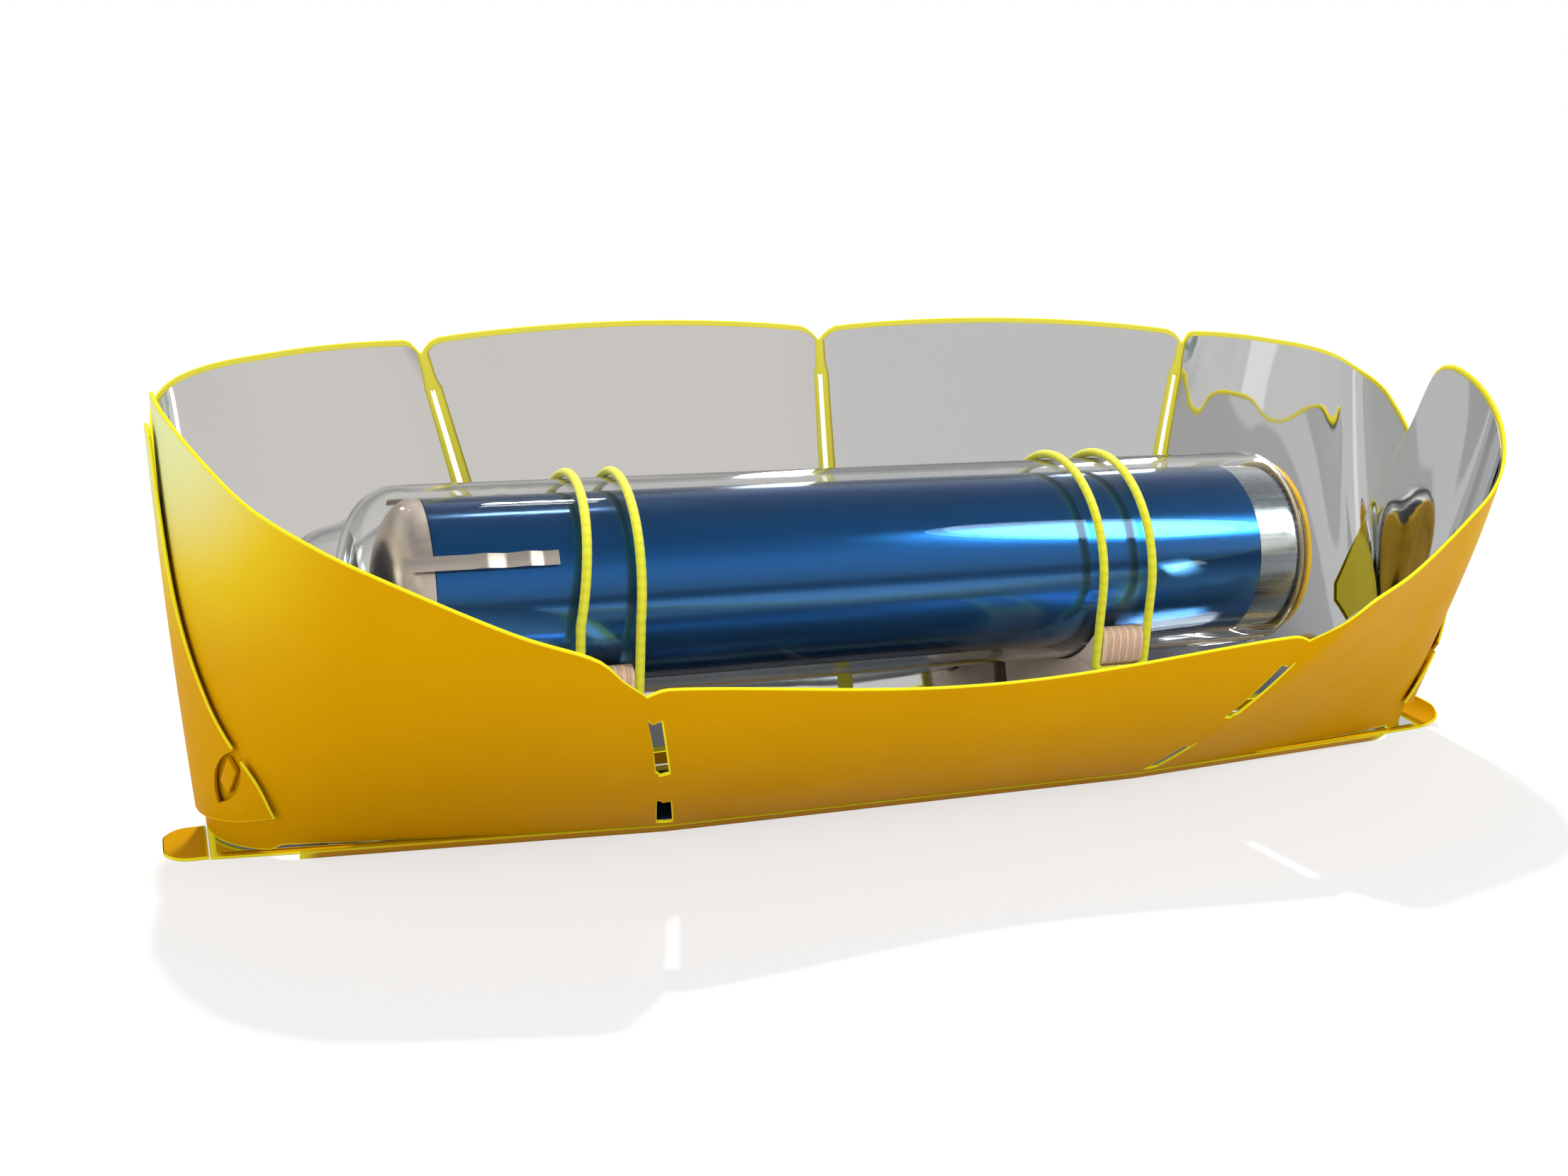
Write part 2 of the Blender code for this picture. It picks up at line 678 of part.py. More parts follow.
def dome(tip_x, length, radius, count, power=2.3):
    """Points of a blunt dome from its pole to its full radius."""
    points = []
    for step in range(count + 1):
        share = step / count
        angle = share * pi / 2
        out = sin(angle) ** (2 / power)
        points.append((tip_x + length * (1 - cos(angle) ** (2 / power)), radius * out))
    return points


def cup(tip_x, length, radius, wall, end_x, count):
    """The closed outline of a domed tube open at its right end."""
    outer = dome(tip_x, length, radius, count)
    inner = dome(tip_x + wall, length, radius - wall, count)
    return outer + [(end_x, radius), (end_x, radius - wall)] + inner[::-1]


def mouth_profile():
    """The outer glass closes inward at the mouth, where both tubes fuse."""
    outer = dome(DOME_X, DOME_LENGTH, TUBE_RADIUS, 7)
    inner = dome(DOME_X + GLASS, DOME_LENGTH, TUBE_RADIUS - GLASS, 7)
    throat = INNER_RADIUS + GAP
    bend = TUBE_RADIUS - throat
    points = [(MOUTH_X - bend + bend * sin(a), throat + bend * cos(a)) for a in np.linspace(0, pi / 2, 5)]
    small = bend - GLASS
    back = [(MOUTH_X - bend + small * sin(a), throat + small * cos(a)) for a in np.linspace(pi / 2, 0, 4)]
    return outer + points + back + inner[::-1]


def build_tube(glass, coat, steel, getter):
    lathe("outer_glass", mouth_profile(), glass)
    lathe("inner_glass", cup(INNER_DOME_X, INNER_DOME_LENGTH, INNER_RADIUS, GLASS, MOUTH_X, 6), glass)
    sleeve = INNER_RADIUS + GAP
    lathe("absorber_coating", [(COAT_START_X, sleeve), (COAT_END_X, sleeve),
                               (COAT_END_X, sleeve + FILM), (COAT_START_X, sleeve + FILM)], coat)
    cap = dome(INNER_DOME_X - GAP - FILM, INNER_DOME_LENGTH, sleeve + FILM, 6)
    under = dome(INNER_DOME_X - GAP, INNER_DOME_LENGTH, sleeve, 6)
    stop = COAT_START_X - GAP
    lathe("support_cup", cap + [(stop, sleeve + FILM), (stop, sleeve)] + under[::-1], steel)
    lining = TUBE_RADIUS - GLASS - GAP
    outer = dome(DOME_X + GLASS + GAP, DOME_LENGTH, lining, 7)
    inner = dome(DOME_X + GLASS + GAP + FILM, DOME_LENGTH, lining - FILM, 7)
    lathe("getter_mirror", outer[:5] + inner[:5][::-1], getter)
    for number, turn in enumerate(ARM_TURNS):
        support_arm("support_arm_%d" % (number + 1), turn, steel)
    nib = [(DOME_X - GAP, 0.0), (DOME_X - GAP, NIB_RADIUS), (DOME_X - NIB_LENGTH * 0.6, NIB_RADIUS * 0.7),
           (DOME_X - NIB_LENGTH, 0.0)]
    lathe("seal_nib", nib, glass, steps=16)


def support_arm(name, turn, paint):
    """A slightly wavy spring strip in the vacuum gap, along the tube."""
    radius = INNER_RADIUS + 2 * GAP + 2 * FILM + ARM_LIFT
    start = INNER_DOME_X + ARM_START
    grid = []
    for share, wave in ARM_WAVES:
        x = start + (ARM_END_X - start) * share
        ripple = ARM_RIPPLE * wave
        row = []
        for across in (-0.5, -0.17, 0.17, 0.5):
            angle = turn + across * ARM_WIDTH / radius
            reach = radius + ripple
            row.append((x, reach * sin(angle), TUBE_AXIS + reach * cos(angle)))
        grid.append(row)
    slab(name, np.array(grid), FILM / 2, -FILM / 2, paint, (-0.15, 0.0, TUBE_AXIS), ())


def build_stopper(orange, steel):
    """The stopper plugs the mouth and carries the tray on a rod."""
    collar = INNER_RADIUS - GLASS - GAP
    plug = collar - COLLAR_WALL - GAP
    face = MOUTH_X + GAP
    back = face + STOPPER_FLANGE
    edge = STOPPER_EDGE
    profile = [(face - PLUG_LENGTH, 0.0), (face - PLUG_LENGTH, plug - edge), (face - PLUG_LENGTH + edge, plug),
               (face, plug), (face, STOPPER_RADIUS - edge), (face + edge, STOPPER_RADIUS),
               (back - edge, STOPPER_RADIUS), (back, STOPPER_RADIUS - edge), (back, 0.0)]
    lathe("stopper", profile, orange)
    collar_end = face - GAP
    ring = [(collar_end - COLLAR_LENGTH, collar), (collar_end, collar),
            (collar_end, collar - COLLAR_WALL), (collar_end - COLLAR_LENGTH, collar - COLLAR_WALL)]
    lathe("tray_collar", ring, steel)
    build_tray(face - PLUG_LENGTH - GAP, steel)


def build_tray(end_x, steel):
    """A half-round trough closed at both ends, with a rod to the stopper."""
    outer = TRAY_RADIUS
    inner = TRAY_RADIUS - TRAY_WALL
    wall = TRAY_END_WALL
    far = end_x - ROD_LENGTH
    angles = np.linspace(-1, 1, 15)

    def arc(radius):
        reach = pi / 2 - asin(TRAY_RIM_RISE / radius)
        return [(radius * sin(a * reach), TUBE_AXIS - radius * cos(a * reach)) for a in angles]

    points = []
    for x, radius in ((TRAY_START_X, outer), (far, outer), (TRAY_START_X + wall, inner), (far - wall, inner)):
        points += [(x, y, z) for y, z in arc(radius)]
    count = len(angles)
    o0, o1, i0, i1 = 0, count, 2 * count, 3 * count
    faces = []
    for k in range(count - 1):
        faces.append((o0 + k, o0 + k + 1, o1 + k + 1, o1 + k))
        faces.append((i0 + k, i1 + k, i1 + k + 1, i0 + k + 1))
    faces.append(tuple(range(o0 + count - 1, o0 - 1, -1)))
    faces.append(tuple(range(o1, o1 + count)))
    faces.append(tuple(range(i0, i0 + count)))
    faces.append(tuple(range(i1 + count - 1, i1 - 1, -1)))
    e = count - 1
    faces.append((o0, o1, i1, i0))
    faces.append((o0 + e, i0 + e, i1 + e, o1 + e))
    faces.append((o0, i0, i0 + e, o0 + e))
    faces.append((o1, o1 + e, i1 + e, i1))
    mesh_object("tray", points, faces, steel, smooth=True)
    near = far + GAP
    rings = [(near, 0.0), (near, ROD_RADIUS), (end_x, ROD_RADIUS), (end_x, 0.0)]
    lathe("tray_rod", rings, steel, 16, ROD_DROP)


# Saddles and loops

def saddle_outline():
    """Half of the saddle's Y-Z outline, from the foot's middle outward."""
    cradle = TUBE_RADIUS + SCORE
    tip_z = -ARM_TOP
    hook_z = -HOOK_DROP
    floor = SHEET + GAP + FILM + GAP - TUBE_AXIS
    outline = [(0.0, floor), (SADDLE_FOOT_HALF, floor), (SADDLE_FOOT_HALF + SADDLE_FLARE, floor + SADDLE_FLARE_RISE),
               (SADDLE_HALF - SADDLE_WAIST, hook_z - SADDLE_WAIST_DROP), (SADDLE_HALF, hook_z - HOOK_HALF)]
    for turn in np.linspace(-pi / 2, pi / 2, 5):
        outline.append((SADDLE_HALF - HOOK_DEPTH + HOOK_ROUND * (1 - cos(turn)), hook_z + HOOK_ROUND * sin(turn)))
    outline.append((SADDLE_HALF, hook_z + HOOK_HALF))
    inner_y = sqrt(cradle ** 2 - tip_z ** 2)
    middle = (inner_y + SADDLE_HALF) / 2
    round_by = (SADDLE_HALF - inner_y) / 2
    for turn in np.linspace(0, pi, 6):
        outline.append((middle + round_by * cos(turn), tip_z - 0.001 + round_by * sin(turn)))
    start = atan2(inner_y, -tip_z)
    for turn in np.linspace(start * 0.93, 0.0, 9):
        outline.append((cradle * sin(turn), -cradle * cos(turn)))
    return outline


def build_saddles(ply):
    half = saddle_outline()
    outline = half + [(-y, z) for y, z in reversed(half[1:-1])]
    count = len(outline)
    for label, centre in zip(("left", "right"), SADDLE_X):
        points = []
        for x in (centre - SADDLE_THICK / 2, centre + SADDLE_THICK / 2):
            points += [(x, y, z + TUBE_AXIS) for y, z in outline]
        faces = [tuple(range(count)), tuple(range(2 * count - 1, count - 1, -1))]
        for i in range(count):
            j = (i + 1) % count
            faces.append((i, j, j + count, i + count))
        mesh_object("saddle_" + label, points, faces, ply)


def loop_route(centre, leans):
    """The closed loop's centre line: over the tube twice, round both hooks.

    Each strand leans along the tube by its own length at the top.
    """
    reach = TUBE_RADIUS + GAP + CORD_RADIUS
    side = SADDLE_THICK / 2 + GAP + CORD_RADIUS
    bend = CORD_BEND
    hook = -HOOK_DROP
    first, second = [], []
    for turn in np.linspace(-pi / 2, pi / 2, 17):
        place = (reach * sin(turn), reach * cos(turn))
        first.append((side + leans[0] * cos(turn), *place))
        second.insert(0, (-side + leans[1] * cos(turn), *place))
    corner = []
    for turn in np.linspace(0.0, pi / 2, 4):
        corner.append((side - bend * (1 - cos(turn)), reach, hook + bend * (1 - sin(turn))))
    far = [(-x, y, z) for x, y, z in reversed(corner)]
    near_a = [(x, -y, z) for x, y, z in reversed(far)]
    near_b = [(x, -y, z) for x, y, z in reversed(corner)]
    route = first + corner + far + second + near_a + near_b
    return [(centre + x, y, z + TUBE_AXIS) for x, y, z in route]


def build_loops(cord):
    sides = 8
    for label, centre, leans in zip(("left", "right"), SADDLE_X, LOOP_LEANS):
        route = [Vector(p) for p in loop_route(centre, leans)]
        count = len(route)
        points = []
        previous = None
        for i, here in enumerate(route):
            along = (route[(i + 1) % count] - route[i - 1]).normalized()
            if previous is None:
                across = along.orthogonal().normalized()
            else:
                across = (previous - along * previous.dot(along)).normalized()
            previous = across
            other = along.cross(across)
            for k in range(sides):
                angle = 2 * pi * k / sides
                points.append(here + (across * cos(angle) + other * sin(angle)) * CORD_RADIUS)
        shift = closing_shift(points, sides, count)
        faces = []
        for i in range(count):
            ahead = (i + 1) % count
            turn = shift if ahead == 0 else 0
            for k in range(sides):
                a, b = i * sides + k, i * sides + (k + 1) % sides
                c = ahead * sides + (k + 1 + turn) % sides
                d = ahead * sides + (k + turn) % sides
                faces.append((a, b, c, d))
        mesh_object("elastic_loop_" + label, points, faces, cord, smooth=True)


def closing_shift(points, sides, count):
    """How many sides the cross-section has turned once round the loop."""
    last = points[(count - 1) * sides]
    spans = [(points[k] - last).length for k in range(sides)]
    return spans.index(min(spans))


def mark_axes():
    front = (0.0, -BASE_HALF - SPINE_LEAN - SCORE - SHEET, SPINE_HEIGHT)
    back = (0.0, BASE_BACK + SPINE_BACK_LEAN + SCORE + SHEET, SPINE_HEIGHT)
    axis_mark("axis_front_wall", front, (1, 0, 0))
    axis_mark("axis_back_wall", back, (-1, 0, 0))
    low, _, _, _ = frame_at(CORNER, HINGE_LOW, SHEET / 2)
    high, _, _, _ = frame_at(CORNER, HINGE_HIGH, SHEET / 2)
    axis_mark("axis_lock_flap_right", tuple(low), tuple(high - low))
    low, high = low * np.array((-1, 1, 1)), high * np.array((-1, 1, 1))
    axis_mark("axis_lock_flap_left", tuple(low), tuple(low - high))
    axis_mark("axis_tongue_left", (-BASE_END_X, 0.0, SHEET), (0, 1, 0))
    axis_mark("axis_tongue_right", (BASE_END_X, 0.0, SHEET), (0, -1, 0))
    axis_mark("axis_tube", (0.0, 0.0, TUBE_AXIS), (1, 0, 0))


def main():
    clear_scene()
    yellow = material("sheet_yellow", YELLOW, 0.45)
    mirror = material("mirror_film", MIRROR, 0.06, 1.0)
    glass = material("clear_glass", GLASS_TINT, 0.03)
    coat = material("absorber_blue", COAT_BLUE, 0.20, 0.6)
    steel = material("brushed_steel", STEEL, 0.30, 1.0)
    getter = material("getter_silver", MIRROR, 0.15, 1.0)
    cord = material("elastic_lime", CORD_LIME, 0.75)
    ply = material("plywood", PLY, 0.70)
    orange = material("stopper_orange", STOPPER_ORANGE, 0.55)
    build_walls(yellow, mirror)
    build_lock_flaps(yellow)
    build_base(yellow, mirror)
    tongue_left(yellow)
    tongue_right(yellow)
    build_spines(yellow)
    build_tube(glass, coat, steel, getter)
    build_stopper(orange, steel)
    build_saddles(ply)
    build_loops(cord)
    mark_axes()


main()
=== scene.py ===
"""The folding solar oven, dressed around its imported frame.

Metres throughout, +Z up, the floor at Z = 0 and the cooking tube along X. The trough's
walls follow the same columns as the solids on a finer net, so that the mirror film
reflects cleanly and the cut edges catch the light.
"""

from math import asin, atan2, cos, pi, radians, sin, sqrt

import bpy
import numpy as np
from mathutils import Matrix, Vector

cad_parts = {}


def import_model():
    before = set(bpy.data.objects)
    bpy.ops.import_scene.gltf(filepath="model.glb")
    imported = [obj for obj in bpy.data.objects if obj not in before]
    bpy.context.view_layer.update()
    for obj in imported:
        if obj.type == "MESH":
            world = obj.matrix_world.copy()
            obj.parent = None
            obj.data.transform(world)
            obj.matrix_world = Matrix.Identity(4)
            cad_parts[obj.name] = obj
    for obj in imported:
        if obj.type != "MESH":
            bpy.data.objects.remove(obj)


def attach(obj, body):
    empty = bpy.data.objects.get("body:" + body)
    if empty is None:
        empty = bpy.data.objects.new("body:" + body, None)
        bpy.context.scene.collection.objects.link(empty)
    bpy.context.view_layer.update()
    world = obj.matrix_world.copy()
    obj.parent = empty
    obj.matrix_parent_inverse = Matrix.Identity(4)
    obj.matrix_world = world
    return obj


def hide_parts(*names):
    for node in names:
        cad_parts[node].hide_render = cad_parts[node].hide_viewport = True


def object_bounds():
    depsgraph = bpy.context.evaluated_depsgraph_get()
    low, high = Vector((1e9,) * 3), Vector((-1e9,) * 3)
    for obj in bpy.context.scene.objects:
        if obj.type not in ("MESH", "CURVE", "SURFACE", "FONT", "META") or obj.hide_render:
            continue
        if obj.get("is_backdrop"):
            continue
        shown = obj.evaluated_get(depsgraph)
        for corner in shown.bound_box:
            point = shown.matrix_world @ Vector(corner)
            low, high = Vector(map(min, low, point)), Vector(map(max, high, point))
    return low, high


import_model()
cad_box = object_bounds()

# Sheet and film
SHEET = 0.0010
FILM = 0.0003
GAP = 0.0003
SCORE = 0.0004
WRAP = 0.0024
RIM_BORDER = 0.0020
SLOT_BORDER = 0.0030
EDGE_ROUND = 0.0003

# Base strip, spines and tongues
BASE_HALF = 0.0255
BASE_BACK = 0.0275
BASE_FOLD_X = 0.0865
BASE_END_X = 0.2255
BASE_END_HALF = 0.0120
SPINE_X = 0.2000
SPINE_HEIGHT = 0.0040
SPINE_FRONT_Y = -0.0163
SPINE_BACK_Y = 0.0194
SPINE_LEAN = 0.0042
SPINE_BACK_LEAN = 0.0017
SPINE_ROUND = 0.0002
TONGUE_LENGTH = 0.0130
TONGUE_HALF = 0.0115
TONGUE_CORNER = TONGUE_HALF * 0.7
TONGUE_ROLL = 0.0120
TONGUE_ROLL_TURN = radians(62)
TONGUE_TAPER_START = 0.55
TONGUE_TAPER = 0.22
TONGUE_LEAST = 0.05

# Cooking tube
TUBE_AXIS = 0.0754
TUBE_RADIUS = 0.0350
GLASS = 0.0016
VACUUM = 0.0034
INNER_RADIUS = TUBE_RADIUS - GLASS - VACUUM
DOME_X = -0.1850
DOME_LENGTH = 0.0200
DOME_SPACING = 0.0110
DOME_POWER = 2.3
MOUTH_X = 0.1445
INNER_DOME_X = DOME_X + DOME_SPACING
INNER_DOME_LENGTH = 0.0140
CUP_LENGTH = 0.0151
COAT_START_X = INNER_DOME_X + CUP_LENGTH
CLEAR_END = 0.0186
COAT_END_X = MOUTH_X - CLEAR_END
SPRING_LENGTH = 0.0518
SPRING_END_X = INNER_DOME_X + SPRING_LENGTH
SPRING_WIDTH = 0.0045
SPRING_START = 0.0060
SPRING_LIFT = 0.0010
SPRING_RIPPLE = 0.0006
SPRING_TURNS = (radians(-55), radians(35), radians(125), radians(215))
NIB_LENGTH = 0.0035
NIB_RADIUS = 0.0028
NIB_SHOULDER = 0.2
GETTER_RINGS = 12

# The spring strips' kinks: shares of the length, and the lift there as a share of the ripple
SPRING_WAVES = ((0.0, 0.0), (0.42, 0.0), (0.52, 1.0), (0.66, -0.75), (0.80, 1.0), (0.90, -0.3), (1.0, 0.2))

# Stopper and tray
STOPPER_INSET = 0.0030
STOPPER_RADIUS = TUBE_RADIUS - STOPPER_INSET
STOPPER_FLANGE = 0.0024
STOPPER_ROUND = 0.0009
PLUG_LENGTH = 0.0150
PLUG_ROUND = 0.0006
COLLAR_WALL = 0.0008
COLLAR_LENGTH = 0.0170
TRAY_CLEARANCE = 0.0049
TRAY_RADIUS = INNER_RADIUS - GLASS - TRAY_CLEARANCE
TRAY_WALL = 0.0008
TRAY_END_WALL = 0.0010
TRAY_SETBACK = 0.0390
TRAY_START_X = INNER_DOME_X + TRAY_SETBACK
TRAY_RIM_RISE = 0.0020
ROD_LENGTH = 0.0040
ROD_RADIUS = 0.0030
ROD_DROP = 0.0100

# The shallow dish in the stopper's face: depths, each with its way inward from the dish's edge
DISH_RADIUS = STOPPER_RADIUS * 0.72
DISH = ((0.0, 0.0), (0.0003, 0.0006), (0.0006, 0.0010), (0.0007, 0.0018))

# Plywood saddles and elastic loops
SADDLE_X = (-0.1086, 0.0696)
SADDLE_THICK = 0.0150
SADDLE_FOOT_HALF = 0.0205
SADDLE_ARM = 0.0031
SADDLE_HALF = TUBE_RADIUS + SCORE + SADDLE_ARM
SADDLE_ARM_TOP = 0.0170
SADDLE_CROWN_DROP = 0.0010
CRADLE_START = 0.93
SADDLE_ROUND = 0.0005
HOOK_DROP = 0.0290
SADDLE_FLARE = 0.0030
SADDLE_FLARE_RISE = 0.0100
SADDLE_WAIST = 0.0045
SADDLE_WAIST_DROP = 0.0110
PLY_COUNT = 11
CORD_RADIUS = 0.0015
CORD_BEND = 0.0030
LOOP_LEANS = ((0.0016, 0.0057), (-0.0012, -0.0012))
BRAID_SIZES = (("Radius", "NodeSocketFloat", CORD_RADIUS), ("Relief", "NodeSocketFloat", 0.00012),
               ("Carriers", "NodeSocketFloat", 8.0), ("Pitch", "NodeSocketFloat", 0.0060),
               ("Rings", "NodeSocketInt", 900), ("Sides", "NodeSocketInt", 28))
HOOK_SEAT = 0.0005
HOOK_DEPTH = SADDLE_HALF - TUBE_RADIUS - GAP + HOOK_SEAT
HOOK_ROOM = 0.0009
HOOK_ROUND = CORD_RADIUS + HOOK_ROOM
HOOK_LIP = 0.0016
HOOK_HALF = HOOK_ROUND + HOOK_LIP

# Slots beside the creases: low and high ends above the floor, and half width
FRONT_SLOTS = ((0.0357, 0.0584, 0.0029), (0.0068, 0.0203, 0.0025))
BACK_SLOTS = ((0.0900, 0.1270, 0.0012),)
FILM_EASE = 0.0022

# Each wall column: foot x, foot y, rim x, rim y, rim height, outward belly.
# They run from the front crease round the end to the back crease.
COLUMNS = np.array([
    (BASE_FOLD_X, -BASE_HALF, 0.1103, -0.0823, 0.0693, 0.0070),
    (0.0920, -0.0251, 0.1184, -0.0880, 0.0765, 0.0068),
    (0.1020, -0.0243, 0.1273, -0.0905, 0.0846, 0.0065),
    (0.1300, -0.0220, 0.1481, -0.0835, 0.0909, 0.0060),
    (0.1650, -0.0192, 0.1780, -0.0710, 0.1027, 0.0055),
    (0.1905, -0.0173, 0.1972, -0.0618, 0.1110, 0.0050),
    (0.2060, -0.0154, 0.2131, -0.0474, 0.1190, 0.0040),
    (0.2162, -0.0110, 0.2248, -0.0292, 0.1285, 0.0030),
    (0.2238, -0.0033, 0.2330, -0.0079, 0.1360, 0.0020),
    (0.2270, 0.0060, 0.2362, 0.0100, 0.1393, 0.0012),
    (0.2270, 0.0130, 0.2364, 0.0300, 0.1393, 0.0000),
    (0.2240, 0.0176, 0.2356, 0.0505, 0.1370, 0.0000),
    (0.2155, 0.0187, 0.2320, 0.0648, 0.1320, 0.0000),
    (0.2000, 0.0194, 0.2180, 0.0705, 0.1345, 0.0010),
    (0.1700, 0.0209, 0.1900, 0.0735, 0.1395, 0.0030),
    (0.1400, 0.0226, 0.1620, 0.0705, 0.1434, 0.0030),
    (0.1130, 0.0240, 0.1480, 0.0665, 0.1395, 0.0030),
])
MIDDLE_COLUMN = np.array((0.0, BASE_BACK, 0.0, 0.0803, 0.1401, 0.0030))
FRONT_CREASE = 0.0
TUCK_START = 2.5
TUCK_FULL = 5.6
TIP = 9.0
CORNER = 10.0
FILM_END = 10.3
FILM_SLANT = 1.5
PETAL_END = 12.6
BACK_CREASE = 16.0
WALL_FOOT = SPINE_HEIGHT + GAP
STRIP_TOP = SHEET + 2 * GAP + FILM
TROUGH_MIDDLE = (0.0, 0.0, 0.07)

# The base strip's long edges between its ends, seen from above
FRONT_FOLD = ((-BASE_FOLD_X, -BASE_HALF), (BASE_FOLD_X, -BASE_HALF))
BACK_FOLD = ((-COLUMNS[-1][0], COLUMNS[-1][1]), (0.0, BASE_BACK), (COLUMNS[-1][0], COLUMNS[-1][1]))

# Heights of the cut edges against the column number
FRONT_TOP = ((9.0, 0.1393), (9.3, 0.1385), (9.55, 0.1350), (9.75, 0.1265), (10.0, 0.1145),
             (11.0, 0.0850), (12.0, 0.0620), (12.6, 0.0460))
FRONT_BOTTOM = ((0.0, WALL_FOOT), (5.9, WALL_FOOT), (6.3, STRIP_TOP), (9.0, STRIP_TOP), (10.0, 0.0060),
                (11.0, 0.0170), (12.0, 0.0300), (12.6, 0.0400))
FLAP_TOP = ((5.9, 0.1150), (8.6, 0.1280), (9.0, 0.1305), (9.3, 0.1285), (9.65, 0.1180), (10.0, 0.1060))
FLAP_BOTTOM = ((5.9, 0.0160), (7.0, 0.0125), (8.0, 0.0105), (9.0, 0.0092), (10.0, 0.0090))
FLAP_EDGE = ((0.0, 5.9), (0.13, 6.15), (0.37, 7.2), (0.66, 8.1), (1.0, 8.6))
END_TOP = ((10.0, 0.1060), (10.6, 0.1165), (11.1, 0.1235), (12.0, 0.1290), (12.75, 0.1340),
           (13.6, 0.1385), (15.0, 0.1432), (15.7, 0.1437), (16.0, 0.1395))
END_BOTTOM = ((10.0, 0.0070), (11.25, 0.0070), (12.0, WALL_FOOT), (16.0, WALL_FOOT))
CREASE_SPREAD = 0.50
FRONT_DIP = 0.13
FRONT_DIP_POWER = 1.5
FRONT_NOTCH = 0.0075
FRONT_NOTCH_DEPTH = 0.0024
BACK_RISE = 0.062
BACK_RISE_POWER = 0.7
BACK_NOTCH = 0.0070
BACK_NOTCH_SHARE = 0.45

# The lens hole in each lock flap and the tab that shows in it
LENS_COLUMN = 6.95
LENS_HEIGHT = 0.0290
LENS_LONG = 0.0125
LENS_WIDE = 0.0048
LENS_TILT = radians(28)
TAB_LONG = 0.0068
TAB_WIDE = 0.0044
TAB_SLANT = 0.55
CUTTER_REACH = (-0.004, 0.008)

# How finely round and curved pieces are netted
ROUND_STEPS = 96
THIN_STEPS = 32
DOME_STEPS = 26
LENS_STEPS = 28
LOOP_STEPS = 61
TRAY_STEPS = 41
END_STEPS = 150
MIDDLE_STEPS = 121
NEAR_FRONT_CREASE = (0.0, 0.0003, 0.0010, 0.0018, 0.0025, 0.0029, 0.0036, 0.0048, 0.0066)
NEAR_BACK_CREASE = (0.0, 0.0003, 0.0008, 0.0012, 0.0017, 0.0030, 0.0050)
NEAR_RIM = (0.0, 0.0007, 0.0018)
STRIP_SHARES = (0.0, 0.008, 0.04, 0.2, 0.4, 0.6, 0.8, 0.96, 0.992, 1.0)
SPINE_SHARES = (0.0, 0.1, 0.5, 0.9, 1.0)
TONGUE_SHARES = (0.0, 0.03, 0.12, 0.3, 0.5, 0.7, 0.88, 0.97, 1.0)
ROW_START = 0.0035
ROW_STEP = 0.0007
CLEAR_OF_SLOTS = 1.0
TINY = 1e-9

# Rows up a net and columns along it
FRONT_ROWS, FRONT_END_COLUMNS, FRONT_CENTRE_COLUMNS = 30, 90, 46
BACK_ROWS, BACK_INNER_COLUMNS, BACK_END_COLUMNS = 34, 44, 60
FRONT_END_FILM, FRONT_CENTRE_FILM = (44, 110), (36, 60)
BACK_INNER_FILM, BACK_END_FILM = (44, 60), (44, 80)
FLAP_ROWS, FLAP_STEPS, FLAP_COLUMNS = 60, 120, 56
FLAP_HEIGHT = 0.1

# Where an edge counts as hard
SMOOTH_ANGLE = radians(35)
BEVEL_ANGLE = radians(40)
SOFT_ANGLE = radians(50)
RIM_ANGLE = radians(80)


# Node trees

# A Mix node's sockets by number: its inputs of other kinds have the same names
MIX_SHARE, MIX_FIRST, MIX_SECOND, MIX_RESULT = 0, 6, 7, 2


class Value:
    """A socket that takes part in sums, each sum a Math node."""

    def __init__(self, nodes, socket):
        self.nodes = nodes
        self.socket = socket

    def maths(self, operation, other=None, swapped=False):
        terms = [self, other] if not swapped else [other, self]
        values = {i: term for i, term in enumerate(terms) if term is not None}
        node = self.nodes.node("ShaderNodeMath", {"operation": operation}, values)
        return Value(self.nodes, node.outputs[0])

    def __add__(self, other):
        return self.maths("ADD", other)

    def __radd__(self, other):
        return self.maths("ADD", other)

    def __sub__(self, other):
        return self.maths("SUBTRACT", other)

    def __rsub__(self, other):
        return self.maths("SUBTRACT", other, swapped=True)

    def __mul__(self, other):
        return self.maths("MULTIPLY", other)

    def __rmul__(self, other):
        return self.maths("MULTIPLY", other)

    def __truediv__(self, other):
        return self.maths("DIVIDE", other)

    def size(self):
        return self.maths("ABSOLUTE")

    def wave(self):
        return self.maths("SINE")

    def part(self):
        return self.maths("FRACT")

    def ease(self, low, high, to_low=0.0, to_high=1.0):
        """A smooth step from one level to another."""
        node = self.nodes.node("ShaderNodeMapRange", {"interpolation_type": "SMOOTHSTEP"},
                               {"Value": self, "From Min": low, "From Max": high,
                                "To Min": to_low, "To Max": to_high})
        return Value(self.nodes, node.outputs["Result"])


